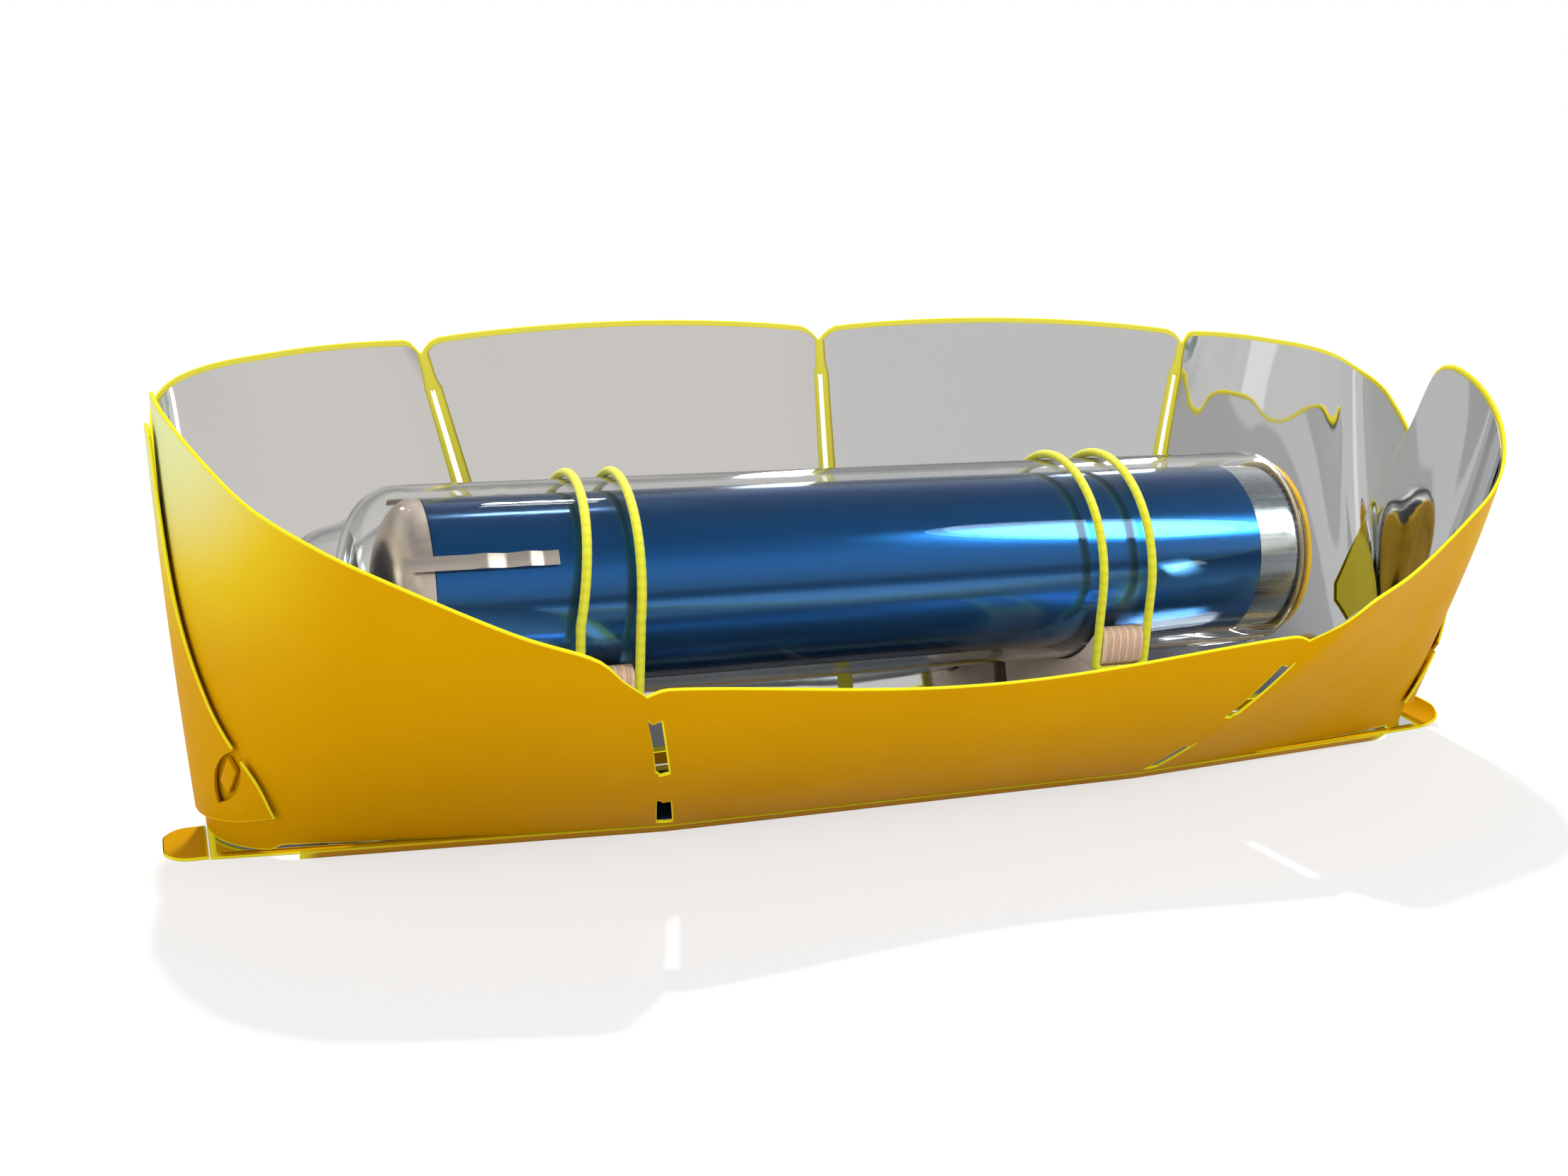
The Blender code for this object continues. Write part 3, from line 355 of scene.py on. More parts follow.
class Nodes:
    """A node tree being built: any node, and blends of its sockets."""

    def __init__(self, tree):
        self.tree = tree
        tree.nodes.clear()

    def node(self, kind, settings=None, values=None):
        """Any node: its settings first, then the values or links of its inputs."""
        made = self.tree.nodes.new(kind)
        for name, setting in (settings or {}).items():
            if name == "stops":
                self.set_stops(made.color_ramp, setting)
            else:
                setattr(made, name, setting)
        for name, value in (values or {}).items():
            socket = made.inputs[name]
            if isinstance(value, Value):
                value = value.socket
            if isinstance(value, bpy.types.NodeSocket):
                self.tree.links.new(value, socket)
            else:
                socket.default_value = value
        return made

    @staticmethod
    def set_stops(ramp, stops):
        while len(ramp.elements) < len(stops):
            ramp.elements.new(0.5)
        for element, (position, colour) in zip(ramp.elements, stops):
            element.position = position
            element.color = (*colour, 1.0)

    def axes(self, vector):
        split = self.node("ShaderNodeSeparateXYZ", None, {0: vector})
        return [Value(self, socket) for socket in split.outputs]

    def mix(self, share, first, second):
        """One colour blended into another."""
        node = self.node("ShaderNodeMix", {"data_type": "RGBA"},
                         {MIX_SHARE: share, MIX_FIRST: self.colour(first), MIX_SECOND: self.colour(second)})
        return node.outputs[MIX_RESULT]

    @staticmethod
    def colour(value):
        """A plain colour with its alpha added. A link or a number stays as it is."""
        return (*value, 1.0) if isinstance(value, tuple) and len(value) == 3 else value

    def ramp(self, value, stops):
        return self.node("ShaderNodeValToRGB", {"stops": stops}, {"Fac": value}).outputs["Color"]


class Paint(Nodes):
    """One material, and the patterns that its finish is made from."""

    def __init__(self, name):
        self.material = bpy.data.materials.new(name)
        self.material.use_nodes = True
        super().__init__(self.material.node_tree)
        self.output = self.node("ShaderNodeOutputMaterial")
        coordinates = self.node("ShaderNodeTexCoord")
        self.place = coordinates.outputs["Object"]
        self.facing = coordinates.outputs["Normal"]

    def stretched(self, scale, turn=(0, 0, 0)):
        mapping = self.node("ShaderNodeMapping", None,
                            {"Vector": self.place, "Scale": scale, "Rotation": turn})
        return mapping.outputs["Vector"]

    def noise(self, scale, detail=3.0, rough=0.5, stretch=(1, 1, 1), warp=0.0, turn=(0, 0, 0)):
        """Soft random marks, scale being how many fit in a metre."""
        node = self.node("ShaderNodeTexNoise", None,
                         {"Vector": self.stretched(stretch, turn), "Scale": scale, "Detail": detail,
                          "Roughness": rough, "Distortion": warp})
        return Value(self, node.outputs["Fac"])

    def attribute(self, name):
        node = self.node("ShaderNodeAttribute", {"attribute_name": name})
        return Value(self, node.outputs["Fac"])

    def bump(self, height, distance, strength=1.0, under=None):
        values = {"Height": height, "Distance": distance, "Strength": strength}
        if under is not None:
            values["Normal"] = under
        return self.node("ShaderNodeBump", None, values).outputs["Normal"]

    def finish(self, **sockets):
        """A Principled shader with these sockets, written with _ for a space."""
        values = {}
        for name, value in sockets.items():
            values[name.replace("_", " ")] = self.colour(value)
        shader = self.node("ShaderNodeBsdfPrincipled", None, values)
        self.tree.links.new(shader.outputs["BSDF"], self.output.inputs["Surface"])
        return self.material


# Finishes

def yellow_sheet():
    """Golden plastic with faint marks: painted sheen paler up its ends, a painted lit tone inside, and a
    painted glow on its cut edges.
    """
    paint = Paint("yellow_sheet")
    cloud = paint.noise(9, 3, 0.55)
    fine = paint.noise(420, 4, 0.6)
    across, height = paint.axes(paint.place)[0::2]
    gold = paint.ramp(cloud, ((0.30, (0.53, 0.258, 0.0005)), (0.70, (0.59, 0.296, 0.0005))))
    # Painted sheen: up both ends the gold turns paler and yellower, greener at the left end, where the
    # curved sheet catches a grazing sheen.
    end = across.size().ease(0.17, 0.24) * height.ease(0.04, 0.14)
    pale = paint.mix(across.ease(-0.1, 0.1), (0.66, 0.71, 0.36), (0.68, 0.60, 0.10))
    sheen_yellowed = paint.mix(end.ease(0.0, 0.6), gold, (0.68, 0.49, 0.015))
    body = paint.mix(end.ease(0.40, 1.0) * 0.95, sheen_yellowed, pale)
    # Painted light: the inner skin is painted a paler lemon, a lit copy of the gold.
    lined = paint.mix(paint.attribute("lining"), body, (0.80, 0.71, 0.08))
    speckle = paint.mix(fine.ease(0.55, 0.75) * 0.06, lined, (0.80, 0.55, 0.02))
    # Painted glow and highlight: the cut edges are painted a brighter yellow.
    edge = paint.attribute("edge").ease(0.2, 0.9)
    colour = paint.mix(edge, speckle, (0.86, 0.76, 0.02))
    scratch = paint.noise(160, 2, 0.5, stretch=(0.12, 0.12, 1.4), turn=(0.2, 0.5, 0.1))
    rough = paint.noise(60, 3).ease(0.3, 0.7, 0.40, 0.50) + scratch.ease(0.66, 0.74) * 0.08
    grain = paint.bump(paint.noise(2600, 2, 0.6), 0.00003)
    normal = paint.bump(cloud, 0.0012, 0.35, grain)
    return paint.finish(Base_Color=colour, Roughness=rough, Normal=normal,
                        Specular_IOR_Level=0.012, Specular_Tint=(1.0, 0.72, 0.10))


def mirror_film():
    """Silvered film with slight waves, and a painted reflection that is warmer on the left half and cooler
    on the right.
    """
    paint = Paint("mirror_film")
    wave = paint.noise(14, 2, 0.4, warp=0.4)
    ripple = paint.noise(70, 2, 0.5, stretch=(0.5, 1, 1.6))
    haze = paint.noise(30, 4, 0.6)
    hair = paint.noise(300, 2, 0.4, stretch=(0.06, 0.06, 1.0), turn=(0.6, 0.3, 0))
    colour = paint.ramp(haze, ((0.35, (0.735, 0.725, 0.710)), (0.65, (0.755, 0.748, 0.735))))
    across = paint.axes(paint.place)[0]
    # Painted reflection: the film's colour is warmer on the left half and cooler and darker on the right.
    reflection_tone = paint.mix(across.ease(-0.02, 0.02), (0.765, 0.740, 0.705), (0.655, 0.660, 0.665))
    colour = paint.mix(0.8, colour, reflection_tone)
    rough = haze.ease(0.3, 0.8, 0.03, 0.06) + hair.ease(0.68, 0.75) * 0.05
    normal = paint.bump(wave, 0.0006, 0.5)
    normal = paint.bump(ripple, 0.00005, 0.5, normal)
    return paint.finish(Base_Color=colour, Metallic=1.0, Roughness=rough, Normal=normal)


def clear_glass():
    """Borosilicate glass with a trace of green and drawn-tube waviness."""
    paint = Paint("clear_glass")
    draw = paint.noise(22, 2, 0.4, stretch=(0.15, 1, 1))
    tint = paint.ramp(draw, ((0.3, (0.965, 0.985, 0.980)), (0.7, (0.985, 0.995, 0.990))))
    smear = paint.noise(55, 3, 0.6)
    return paint.finish(Base_Color=tint, Roughness=smear.ease(0.55, 0.8, 0.0, 0.03),
                        Normal=paint.bump(draw, 0.0006, 0.5), IOR=1.38,
                        Specular_Tint=(0.35, 0.50, 0.70), Transmission_Weight=1.0)


def absorber_blue():
    """Satin selective coating with drawn streaks, its blue painted in bands of reflection by height,
    brightest below its middle.
    """
    paint = Paint("absorber_blue")
    depth, height = paint.axes(paint.place)[1:]
    rise = (height - TUBE_AXIS) / INNER_RADIUS
    streak = paint.noise(90, 3, 0.5, stretch=(0.03, 1, 1))
    level = rise + (streak - 0.5) * 0.12
    # Painted reflection: the blue runs in bright and dark bands up the tube, by height.
    blue = paint.ramp(level * 0.5 + 0.5, (
        (0.10, (0.040, 0.120, 0.320)), (0.42, (0.070, 0.270, 0.640)), (0.60, (0.014, 0.085, 0.240)),
        (0.74, (0.012, 0.150, 0.480)), (0.90, (0.026, 0.150, 0.400)), (0.99, (0.040, 0.100, 0.240))))
    violet = paint.mix(depth.ease(-0.02, 0.03) * 0.5, blue, (0.050, 0.060, 0.220))
    rough = paint.noise(45, 3, 0.5, stretch=(0.2, 1, 1)).ease(0.3, 0.7, 0.12, 0.18)
    return paint.finish(Base_Color=violet, Metallic=0.75, Specular_IOR_Level=0.2, Roughness=rough,
                        Normal=paint.bump(streak, 0.0001, 0.5))


def bright_steel(name, tint, low_rough, high_rough, grain_stretch, wave_depth):
    """Metal whose grain runs one way, over shallow waves."""
    paint = Paint(name)
    grain = paint.noise(900, 3, 0.6, stretch=grain_stretch)
    cloud = paint.noise(40, 3)
    dark = tuple(part * 0.86 for part in tint)
    colour = paint.ramp(grain * 0.6 + cloud * 0.4, ((0.35, dark), (0.65, tint)))
    rough = grain.ease(0.3, 0.7, low_rough, high_rough)
    normal = paint.bump(cloud, wave_depth, 0.5)
    normal = paint.bump(grain, 0.00002, 0.5, normal)
    return paint.finish(Base_Color=colour, Metallic=1.0, Roughness=rough, Normal=normal)


def stopper_orange():
    """Matt silicone in two close oranges under a fine skin."""
    paint = Paint("stopper_orange")
    cloud = paint.noise(80, 4, 0.6)
    colour = paint.ramp(cloud, ((0.35, (0.72, 0.40, 0.008)), (0.65, (0.86, 0.52, 0.020))))
    skin = paint.noise(1500, 2, 0.5)
    return paint.finish(Base_Color=colour, Roughness=cloud.ease(0.3, 0.7, 0.42, 0.58),
                        Normal=paint.bump(skin, 0.00004, 0.6), Specular_IOR_Level=0.4)


def plywood():
    """Beech plywood: flecked faces, and plies that alternate along the cut edges."""
    paint = Paint("plywood")
    across = paint.axes(paint.place)[0]
    nearest = across.ease(0.0, 0.0001, SADDLE_X[0], SADDLE_X[1])
    ply = (across - nearest) / SADDLE_THICK * PLY_COUNT + 0.5 * PLY_COUNT
    wander = paint.noise(120, 2, 0.5)
    layer = ((ply + (wander - 0.5) * 0.25) * pi).wave().size()
    dark_ply = ((ply * 0.5 + 0.25).part() - 0.5).size().ease(0.22, 0.28)
    pores = paint.noise(1500, 3, 0.6, stretch=(1, 0.12, 0.12))
    end_grain = paint.noise(2200, 3, 0.6)
    long_ply = paint.ramp(pores, ((0.35, (0.72, 0.48, 0.32)), (0.65, (0.86, 0.62, 0.44))))
    cross_ply = paint.ramp(end_grain, ((0.35, (0.60, 0.36, 0.24)), (0.65, (0.78, 0.50, 0.35))))
    edge = paint.mix(dark_ply, long_ply, cross_ply)
    glue = layer.ease(0.0, 0.22)
    edge = paint.mix(glue, (0.36, 0.21, 0.14), edge)
    fleck = paint.noise(380, 2, 0.5, stretch=(1, 0.16, 1.0))
    figure = paint.noise(35, 4, 0.6, stretch=(1, 0.35, 1))
    face = paint.ramp(figure, ((0.30, (0.84, 0.68, 0.54)), (0.70, (0.92, 0.78, 0.65))))
    face = paint.mix(fleck.ease(0.60, 0.70) * 0.45, face, (0.58, 0.42, 0.31))
    side = paint.axes(paint.facing)[0]
    colour = paint.mix(side.size().ease(0.6, 0.85), edge, face)
    relief = paint.bump(glue + end_grain * 0.5, 0.00012, 0.7)
    return paint.finish(Base_Color=colour, Roughness=pores.ease(0.3, 0.7, 0.60, 0.78), Normal=relief)


def elastic_lime():
    """Braided lime elastic, with painted shade between its crossing strands and painted light on their
    crowns.
    """
    paint = Paint("elastic_lime")
    lift = paint.attribute("lift")
    # Painted shade in the grooves between strands, and painted light on the raised crowns.
    shade = paint.ramp(lift, (
        (0.0, (0.34, 0.31, 0.002)), (0.45, (0.74, 0.71, 0.006)), (1.0, (0.90, 0.88, 0.020))))
    fuzz = paint.noise(3500, 3, 0.6)
    colour = paint.mix(fuzz.ease(0.5, 0.8) * 0.25, shade, (0.95, 0.95, 0.25))
    return paint.finish(Base_Color=colour, Roughness=fuzz.ease(0.2, 0.8, 0.55, 0.75),
                        Normal=paint.bump(fuzz, 0.00005, 0.6), Sheen_Weight=0.35)


# Meshes

def smooth(mesh, angle):
    """Shade a mesh smooth, apart from its hard edges."""
    mesh.shade_smooth()
    mesh.set_sharp_from_angle(angle=angle)


def make_object(name, mesh, paint, angle=SMOOTH_ANGLE):
    smooth(mesh, angle)
    mesh.materials.clear()
    mesh.materials.append(paint)
    made = bpy.data.objects.new(name, mesh)
    bpy.context.collection.objects.link(made)
    return made


def make_mesh(name, points, faces):
    mesh = bpy.data.meshes.new(name)
    mesh.from_pydata([tuple(p) for p in points], [], faces)
    mesh.validate()
    return mesh


def turn_outward(mesh):
    """Turn a closed mesh right side out, by the sign of its volume."""
    corners = np.zeros(len(mesh.vertices) * 3)
    mesh.vertices.foreach_get("co", corners)
    corners = corners.reshape(-1, 3)
    mesh.calc_loop_triangles()
    thirds = np.zeros(len(mesh.loop_triangles) * 3, int)
    mesh.loop_triangles.foreach_get("vertices", thirds)
    a, b, c = (corners[thirds.reshape(-1, 3)[:, i]] for i in range(3))
    if np.sum(a * np.cross(b, c)) < 0:
        mesh.flip_normals()


def closed_piece(name, points, faces, paint):
    """A closed mesh, right side out, as an object."""
    mesh = make_mesh(name, points, faces)
    turn_outward(mesh)
    return make_object(name, mesh, paint)


def prism(name, near, far, paint):
    """A closed piece between two copies of one outline."""
    count = len(near)
    faces = [tuple(range(count)), tuple(range(2 * count - 1, count - 1, -1))]
    for i in range(count):
        j = (i + 1) % count
        faces.append((j, i, i + count, j + count))
    return closed_piece(name, near + far, faces, paint)


def arc(x, y, size, turn_from, turn_to, count):
    """Points along an arc about a centre."""
    return [(x + size * cos(turn), y + size * sin(turn)) for turn in np.linspace(turn_from, turn_to, count)]


def place_piece(piece, body, slot, *nodes):
    """The piece rides its body and stands for its solids."""
    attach(piece, body)
    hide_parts(*nodes)


def apply_modifiers(piece):
    """Make what a piece's modifiers show its own plain mesh."""
    graph = bpy.context.evaluated_depsgraph_get()
    mesh = bpy.data.meshes.new_from_object(piece.evaluated_get(graph))
    piece.modifiers.clear()
    piece.data = mesh


def soften(piece, width, segments):
    """Round a piece's hard edges."""
    bevel = piece.modifiers.new("bevel", "BEVEL")
    bevel.width = width
    bevel.segments = segments
    bevel.limit_method = "ANGLE"
    bevel.angle_limit = BEVEL_ANGLE
    apply_modifiers(piece)
    smooth(piece.data, SOFT_ANGLE)


# The trough's surface

def column(number):
    """A wall column at any place between two numbered ones, blended smoothly."""
    last = len(COLUMNS) - 1
    low = int(min(max(number, 0.0), last - TINY))
    t = number - low
    a, b = COLUMNS[low], COLUMNS[low + 1]
    before = COLUMNS[low - 1] if low else 2 * a - b
    after = COLUMNS[low + 2] if low + 2 <= last else 2 * b - a
    return 0.5 * (2 * a + (b - before) * t
                  + (2 * before - 5 * a + 4 * b - after) * t * t
                  + (3 * a - before - 3 * b + after) * t ** 3)


def column_point(values, height, outward):
    """The sheet's middle at a height on one column, belly and all."""
    foot_x, foot_y, rim_x, rim_y, rim_height, belly = values
    v = height / rim_height
    swell = belly * 4 * v * (1 - v)
    return np.array((foot_x + (rim_x - foot_x) * v + outward[0] * swell,
                     foot_y + (rim_y - foot_y) * v + outward[1] * swell,
                     height))


def outward_at(number):
    """The plan direction that points out of the trough at a column."""
    step = 0.05
    a = column(max(number - step, 0.0))
    b = column(min(number + step, len(COLUMNS) - 1))
    along = (b[0:2] + b[2:4]) - (a[0:2] + a[2:4])
    along /= np.hypot(*along)
    return np.array((along[1] + CREASE_SPREAD * max(0.0, 1.0 - number), -along[0]))


def tuck_at(number):
    """The front sheet slips inside the shell as it nears the end."""
    share = min(max((number - TUCK_START) / (TUCK_FULL - TUCK_START), 0.0), 1.0)
    return WRAP * share * share * (3 - 2 * share)


def end_wall(number, height, tuck=0.0):
    """The right-hand shell from the front crease to the back crease."""
    outward = outward_at(number)
    point = column_point(column(number), height, outward)
    point[:2] -= outward * tuck
    return point


def between(first, first_out, second, second_out):
    """The ruled wall between two creases, by share along and share up."""
    def wall(share, up):
        ends = []
        for values, out in ((first, first_out), (second, second_out)):
            ends.append(column_point(values, values[4] * up, out))
        return ends[0] * (1 - share) + ends[1] * share
    return wall


def eased(table, number):
    """A smooth line through a table's points that never overshoots them."""
    xs, ys = (np.array(row) for row in zip(*table))
    number = min(max(number, xs[0]), xs[-1])
    steps = np.diff(xs)
    slopes = np.diff(ys) / steps
    tangents = [slopes[0]]
    for before, after in zip(slopes, slopes[1:]):
        tangents.append(0.0 if before * after <= 0 else 2 * before * after / (before + after))
    tangents.append(slopes[-1])
    i = min(int(np.searchsorted(xs, number, side="right")) - 1, len(steps) - 1)
    t = (number - xs[i]) / steps[i]
    return ((1 + 2 * t) * (1 - t) ** 2 * ys[i] + t * (1 - t) ** 2 * steps[i] * tangents[i]
            + t * t * (3 - 2 * t) * ys[i + 1] + t * t * (t - 1) * steps[i] * tangents[i + 1])


def front_top(number):
    return column(number)[4] if number <= TIP else eased(FRONT_TOP, number)


def front_end_path(share, border, last):
    """One level line of the front wall's end, from its crease to the petal."""
    path = []
    for number in np.linspace(FRONT_CREASE, last, END_STEPS):
        low, high = eased(FRONT_BOTTOM, number) + border, front_top(number) - border
        path.append(end_wall(number, low + (high - low) * share, tuck_at(number)))
    return path


def front_centre_path(share, border):
    """One level line of the front wall's middle, from crease to crease."""
    right = column(FRONT_CREASE)
    left = right * np.array((-1, 1, -1, 1, 1, 1))
    out = outward_at(FRONT_CREASE)
    wall = between(left, (-out[0], out[1]), right, out)
    path = []
    for across in np.linspace(0.0, 1.0, MIDDLE_STEPS):
        dip = FRONT_DIP * sin(pi * across) ** FRONT_DIP_POWER
        shoulder = min(1.0, min(across, 1 - across) * 2 * right[2] / FRONT_NOTCH)
        rim = right[4] * (1 - dip) + FRONT_NOTCH_DEPTH * sin(pi / 2 * shoulder)
        low, high = WALL_FOOT + border, rim - border
        path.append(wall(across, (low + (high - low) * share) / right[4]))
    return path


def back_inner_path(share, border):
    """One level line of a back inner panel, from the middle crease outward."""
    side = column(BACK_CREASE)
    wall = between(MIDDLE_COLUMN, (0.0, 1.0), side, outward_at(BACK_CREASE))
    path = []
    for across in np.linspace(0.0, 1.0, MIDDLE_STEPS):
        shoulder = min(1.0, min(across, 1 - across) * side[2] / BACK_NOTCH)
        arch = sin(pi * across) ** BACK_RISE_POWER
        rise = BACK_RISE * (BACK_NOTCH_SHARE * sin(pi / 2 * shoulder) + (1 - BACK_NOTCH_SHARE) * arch)
        low, high = WALL_FOOT + border, side[4] * (1 + rise) - border
        path.append(wall(across, (low + (high - low) * share) / side[4]))
    return path


def back_end_path(share, border):
    """One level line of a back end panel, from its crease to the flap's corner."""
    path = []
    for number in np.linspace(BACK_CREASE, CORNER, END_STEPS):
        low, high = eased(END_BOTTOM, number) + border, eased(END_TOP, number) - border
        path.append(end_wall(number, low + (high - low) * share))
    return path


def lengths_of(path):
    """How far along the path each of its points is."""
    return np.concatenate([[0.0], np.cumsum(np.linalg.norm(np.diff(path, axis=0), axis=1))])


def at_lengths(path, lengths, wanted):
    """The points at the wanted lengths along a path."""
    return np.stack([np.interp(wanted, lengths, path[:, axis]) for axis in range(3)], axis=1)


def spaced(path, count, near=(), far=()):
    """Points along a path: at these lengths from each end, and evenly between."""
    path = np.array(path)
    lengths = lengths_of(path)
    first = near[-1] if near else 0.0
    last = lengths[-1] - (far[-1] if far else 0.0)
    wanted = [*near[:-1], *np.linspace(first, last, count), *(lengths[-1] - step for step in far[-2::-1])]
    return at_lengths(path, lengths, wanted)


def trimmed(path, start, stop, count):
    """The path with a length cut from each end, its points spaced as they were."""
    path = np.array(path)
    lengths = lengths_of(path)
    steps = np.interp(np.linspace(0, len(path) - 1, count), range(len(path)), lengths)
    return at_lengths(path, lengths, start + steps / lengths[-1] * (lengths[-1] - start - stop))


def row_shares(low, high, slots, count):
    """Shares up a wall: even steps, close ones by the cut edges and slot ends."""
    span = high - low
    shares = [step / span for step in NEAR_RIM]
    shares += list(np.linspace(ROW_START / span, 1 - ROW_START / span, count))
    shares += [1 - step / span for step in NEAR_RIM[::-1]]
    for bottom, top, _ in slots:
        for end in (bottom, top):
            share = (end - low) / span
            shares = [s for s in shares if abs(s - share) > 2 * ROW_STEP / span or s in (0.0, 1.0)]
            shares += [share - ROW_STEP / span, share, share + ROW_STEP / span]
    return sorted(shares)


def slot_holes(shares, offsets, slots, low, high):
    """Which cells of a net fall inside a slot, by their distance from its crease."""
    middle_rows = low + (high - low) * (np.array(shares[1:]) + np.array(shares[:-1])) / 2
    offsets = np.array(offsets)
    middle_columns = np.abs(offsets[1:] + offsets[:-1]) / 2
    holes = np.zeros((len(shares) - 1, len(offsets) - 1), bool)
    for bottom, top, half in slots:
        rows = (middle_rows > bottom) & (middle_rows < top)
        holes |= rows[:, None] & (middle_columns < half)[None, :]
    return holes


def net_normals(grid, inside):
    """Unit normals of a net, turned away from a point inside the trough."""
    normal = np.cross(np.gradient(grid, axis=1), np.gradient(grid, axis=0))
    normal /= np.linalg.norm(normal, axis=2, keepdims=True)
    return -normal if np.sum(normal * (grid - inside)) < 0 else normal


def net_cells(rows, columns, holes):
    """The four-cornered cells of a net, without those that a hole takes away."""
    cells = []
    for row in range(rows - 1):
        for place in range(columns - 1):
            if holes is None or not holes[row, place]:
                a = row * columns + place
                cells.append((a, a + 1, a + 1 + columns, a + columns))
    return cells


def open_sides(cells):
    """The sides that only one cell has, and that cell."""
    sides = {}
    for cell in cells:
        for a, b in zip(cell, cell[1:] + cell[:1]):
            sides[(a, b)] = cell
    return {(a, b): cell for (a, b), cell in sides.items() if (b, a) not in sides}


def inward_pull(points, borders):
    """Unit directions from the cut edges into the sheet, and which points have one."""
    pull = np.zeros_like(points)
    for (a, b), cell in borders.items():
        along = points[b] - points[a]
        along /= np.linalg.norm(along)
        inward = points[list(cell)].mean(axis=0) - points[a]
        inward -= along * (inward @ along)
        inward /= np.linalg.norm(inward)
        pull[a] += inward
        pull[b] += inward
    size = np.linalg.norm(pull, axis=1, keepdims=True)
    return np.where(size > TINY, pull / np.maximum(size, TINY), 0.0), size[:, 0] > TINY


def plate(name, grid, outer, inner, paint, holes=None, level=(0,), inside=TROUGH_MIDDLE,
          rounding=EDGE_ROUND, lined=False):
    """A closed plate between two offsets of a net, its cut edges rounded.

    The rows in level keep their height. The paint reads edge = 1 on the cut edges, and
    lining = 1 on the inner skin of a lined plate.
    """
    rows, columns = grid.shape[:2]
    normal = net_normals(grid, np.array(inside))
    for row in level:
        flat = normal[row] * np.array((1.0, 1.0, 0.0))
        normal[row] = flat / np.sum(flat * flat, axis=1, keepdims=True)
    middle, out = grid.reshape(-1, 3), normal.reshape(-1, 3)
    cells = net_cells(rows, columns, holes)
    borders = open_sides(cells)
    pull, on_edge = inward_pull(middle, borders)
    pull = pull * rounding
    points = np.concatenate([middle + out * outer + pull, middle + out * inner + pull,
                             middle + out * (outer + inner) / 2])
    count = rows * columns
    faces = []
    for cell in cells:
        faces.append(cell)
        faces.append(tuple(corner + count for corner in reversed(cell)))
    for a, b in borders:
        faces.append((b, a, a + 2 * count, b + 2 * count))
        faces.append((b + 2 * count, a + 2 * count, a + count, b + count))
    used = sorted({corner for face in faces for corner in face})
    renumber = {old: new for new, old in enumerate(used)}
    faces = [tuple(renumber[corner] for corner in face) for face in faces]
    mesh = make_mesh(name, points[used], faces)
    for label, marked in (("edge", np.tile(on_edge, 3)), ("lining", np.repeat((0, lined, 0), count))):
        attribute = mesh.attributes.new(label, "FLOAT", "POINT")
        attribute.data.foreach_set("value", marked[used].astype(np.float32))
    turn_outward(mesh)
    return make_object(name, mesh, paint, RIM_ANGLE if rounding else SMOOTH_ANGLE)


def mirrored(grid):
    return grid * np.array((-1.0, 1.0, 1.0))


def front_sheet(paint):
    """One sheet folded at two creases, with its slots cut through them."""
    near = NEAR_FRONT_CREASE
    rim = column(FRONT_CREASE)[4]
    shares = row_shares(WALL_FOOT, rim, FRONT_SLOTS, FRONT_ROWS)
    end = np.array([spaced(front_end_path(s, 0.0, PETAL_END), FRONT_END_COLUMNS, near, NEAR_RIM)
                    for s in shares])
    centre = np.array([spaced(front_centre_path(s, 0.0), FRONT_CENTRE_COLUMNS, near, near) for s in shares])
    grid = np.concatenate([mirrored(end)[:, :0:-1], centre, end[:, 1:]], axis=1)
    end_offsets = [*near, *[CLEAR_OF_SLOTS] * (end.shape[1] - len(near))]
    middle = [CLEAR_OF_SLOTS] * (centre.shape[1] - 2 * len(near))
    offsets = [*end_offsets[:0:-1], *near, *middle, *near[::-1], *end_offsets[1:]]
    holes = slot_holes(shares, offsets, FRONT_SLOTS, WALL_FOOT, rim)
    sheet = plate("front_sheet", grid, SHEET / 2, -SHEET / 2, paint, holes, lined=True)
    place_piece(sheet, "front_wall", "yellow_sheet",
                "front_centre_panel", "front_end_panel_left", "front_end_panel_right")


def back_sheet(paint):
    """One sheet folded at three creases, up to the corners of the lock flaps."""
    near = NEAR_BACK_CREASE
    rim = column(BACK_CREASE)[4]
    shares = row_shares(WALL_FOOT, rim, BACK_SLOTS, BACK_ROWS)
    inner = np.array([spaced(back_inner_path(s, 0.0), BACK_INNER_COLUMNS, near, near) for s in shares])
    corner = tuple(SCORE / 2 + step for step in NEAR_RIM)
    end = np.array([spaced(back_end_path(s, 0.0), BACK_END_COLUMNS, near, corner) for s in shares])
    right = np.concatenate([inner, end[:, 1:]], axis=1)
    grid = np.concatenate([mirrored(right)[:, :0:-1], right], axis=1)
    offsets = [*near, *[CLEAR_OF_SLOTS] * (inner.shape[1] - 2 * len(near)), *near[::-1]]
    offsets += [*near[1:], *[CLEAR_OF_SLOTS] * (end.shape[1] - len(near))]
    offsets = offsets[:0:-1] + offsets
    holes = slot_holes(shares, offsets, BACK_SLOTS, WALL_FOOT, rim)
    sheet = plate("back_sheet", grid, SHEET / 2, -SHEET / 2, paint, holes, lined=True)
    place_piece(sheet, "back_wall", "yellow_sheet", "back_inner_panel_left", "back_inner_panel_right",
                "back_end_panel_left", "back_end_panel_right")


def film_trim(height, slots):
    """How far the film stands back from a crease, wider beside a slot."""
    extra = 0.0
    for low, high, half in slots:
        rise = min(max((height - low + FILM_EASE) / FILM_EASE, 0.0), 1.0)
        fall = min(max((high + FILM_EASE - height) / FILM_EASE, 0.0), 1.0)
        extra = max(extra, half * sin(pi / 2 * min(rise, fall)))
    return SLOT_BORDER + extra


def film_net(path_of, slots, size, both_creases):
    """A film's net, set back from its creases, or from one crease and a cut edge."""
    rows, columns = size
    grid = []
    for share in np.linspace(0.0, 1.0, rows):
        path = path_of(share)
        trim = film_trim(path[0][2], slots)
        grid.append(trimmed(path, trim, trim if both_creases else RIM_BORDER, columns))
    return np.array(grid)


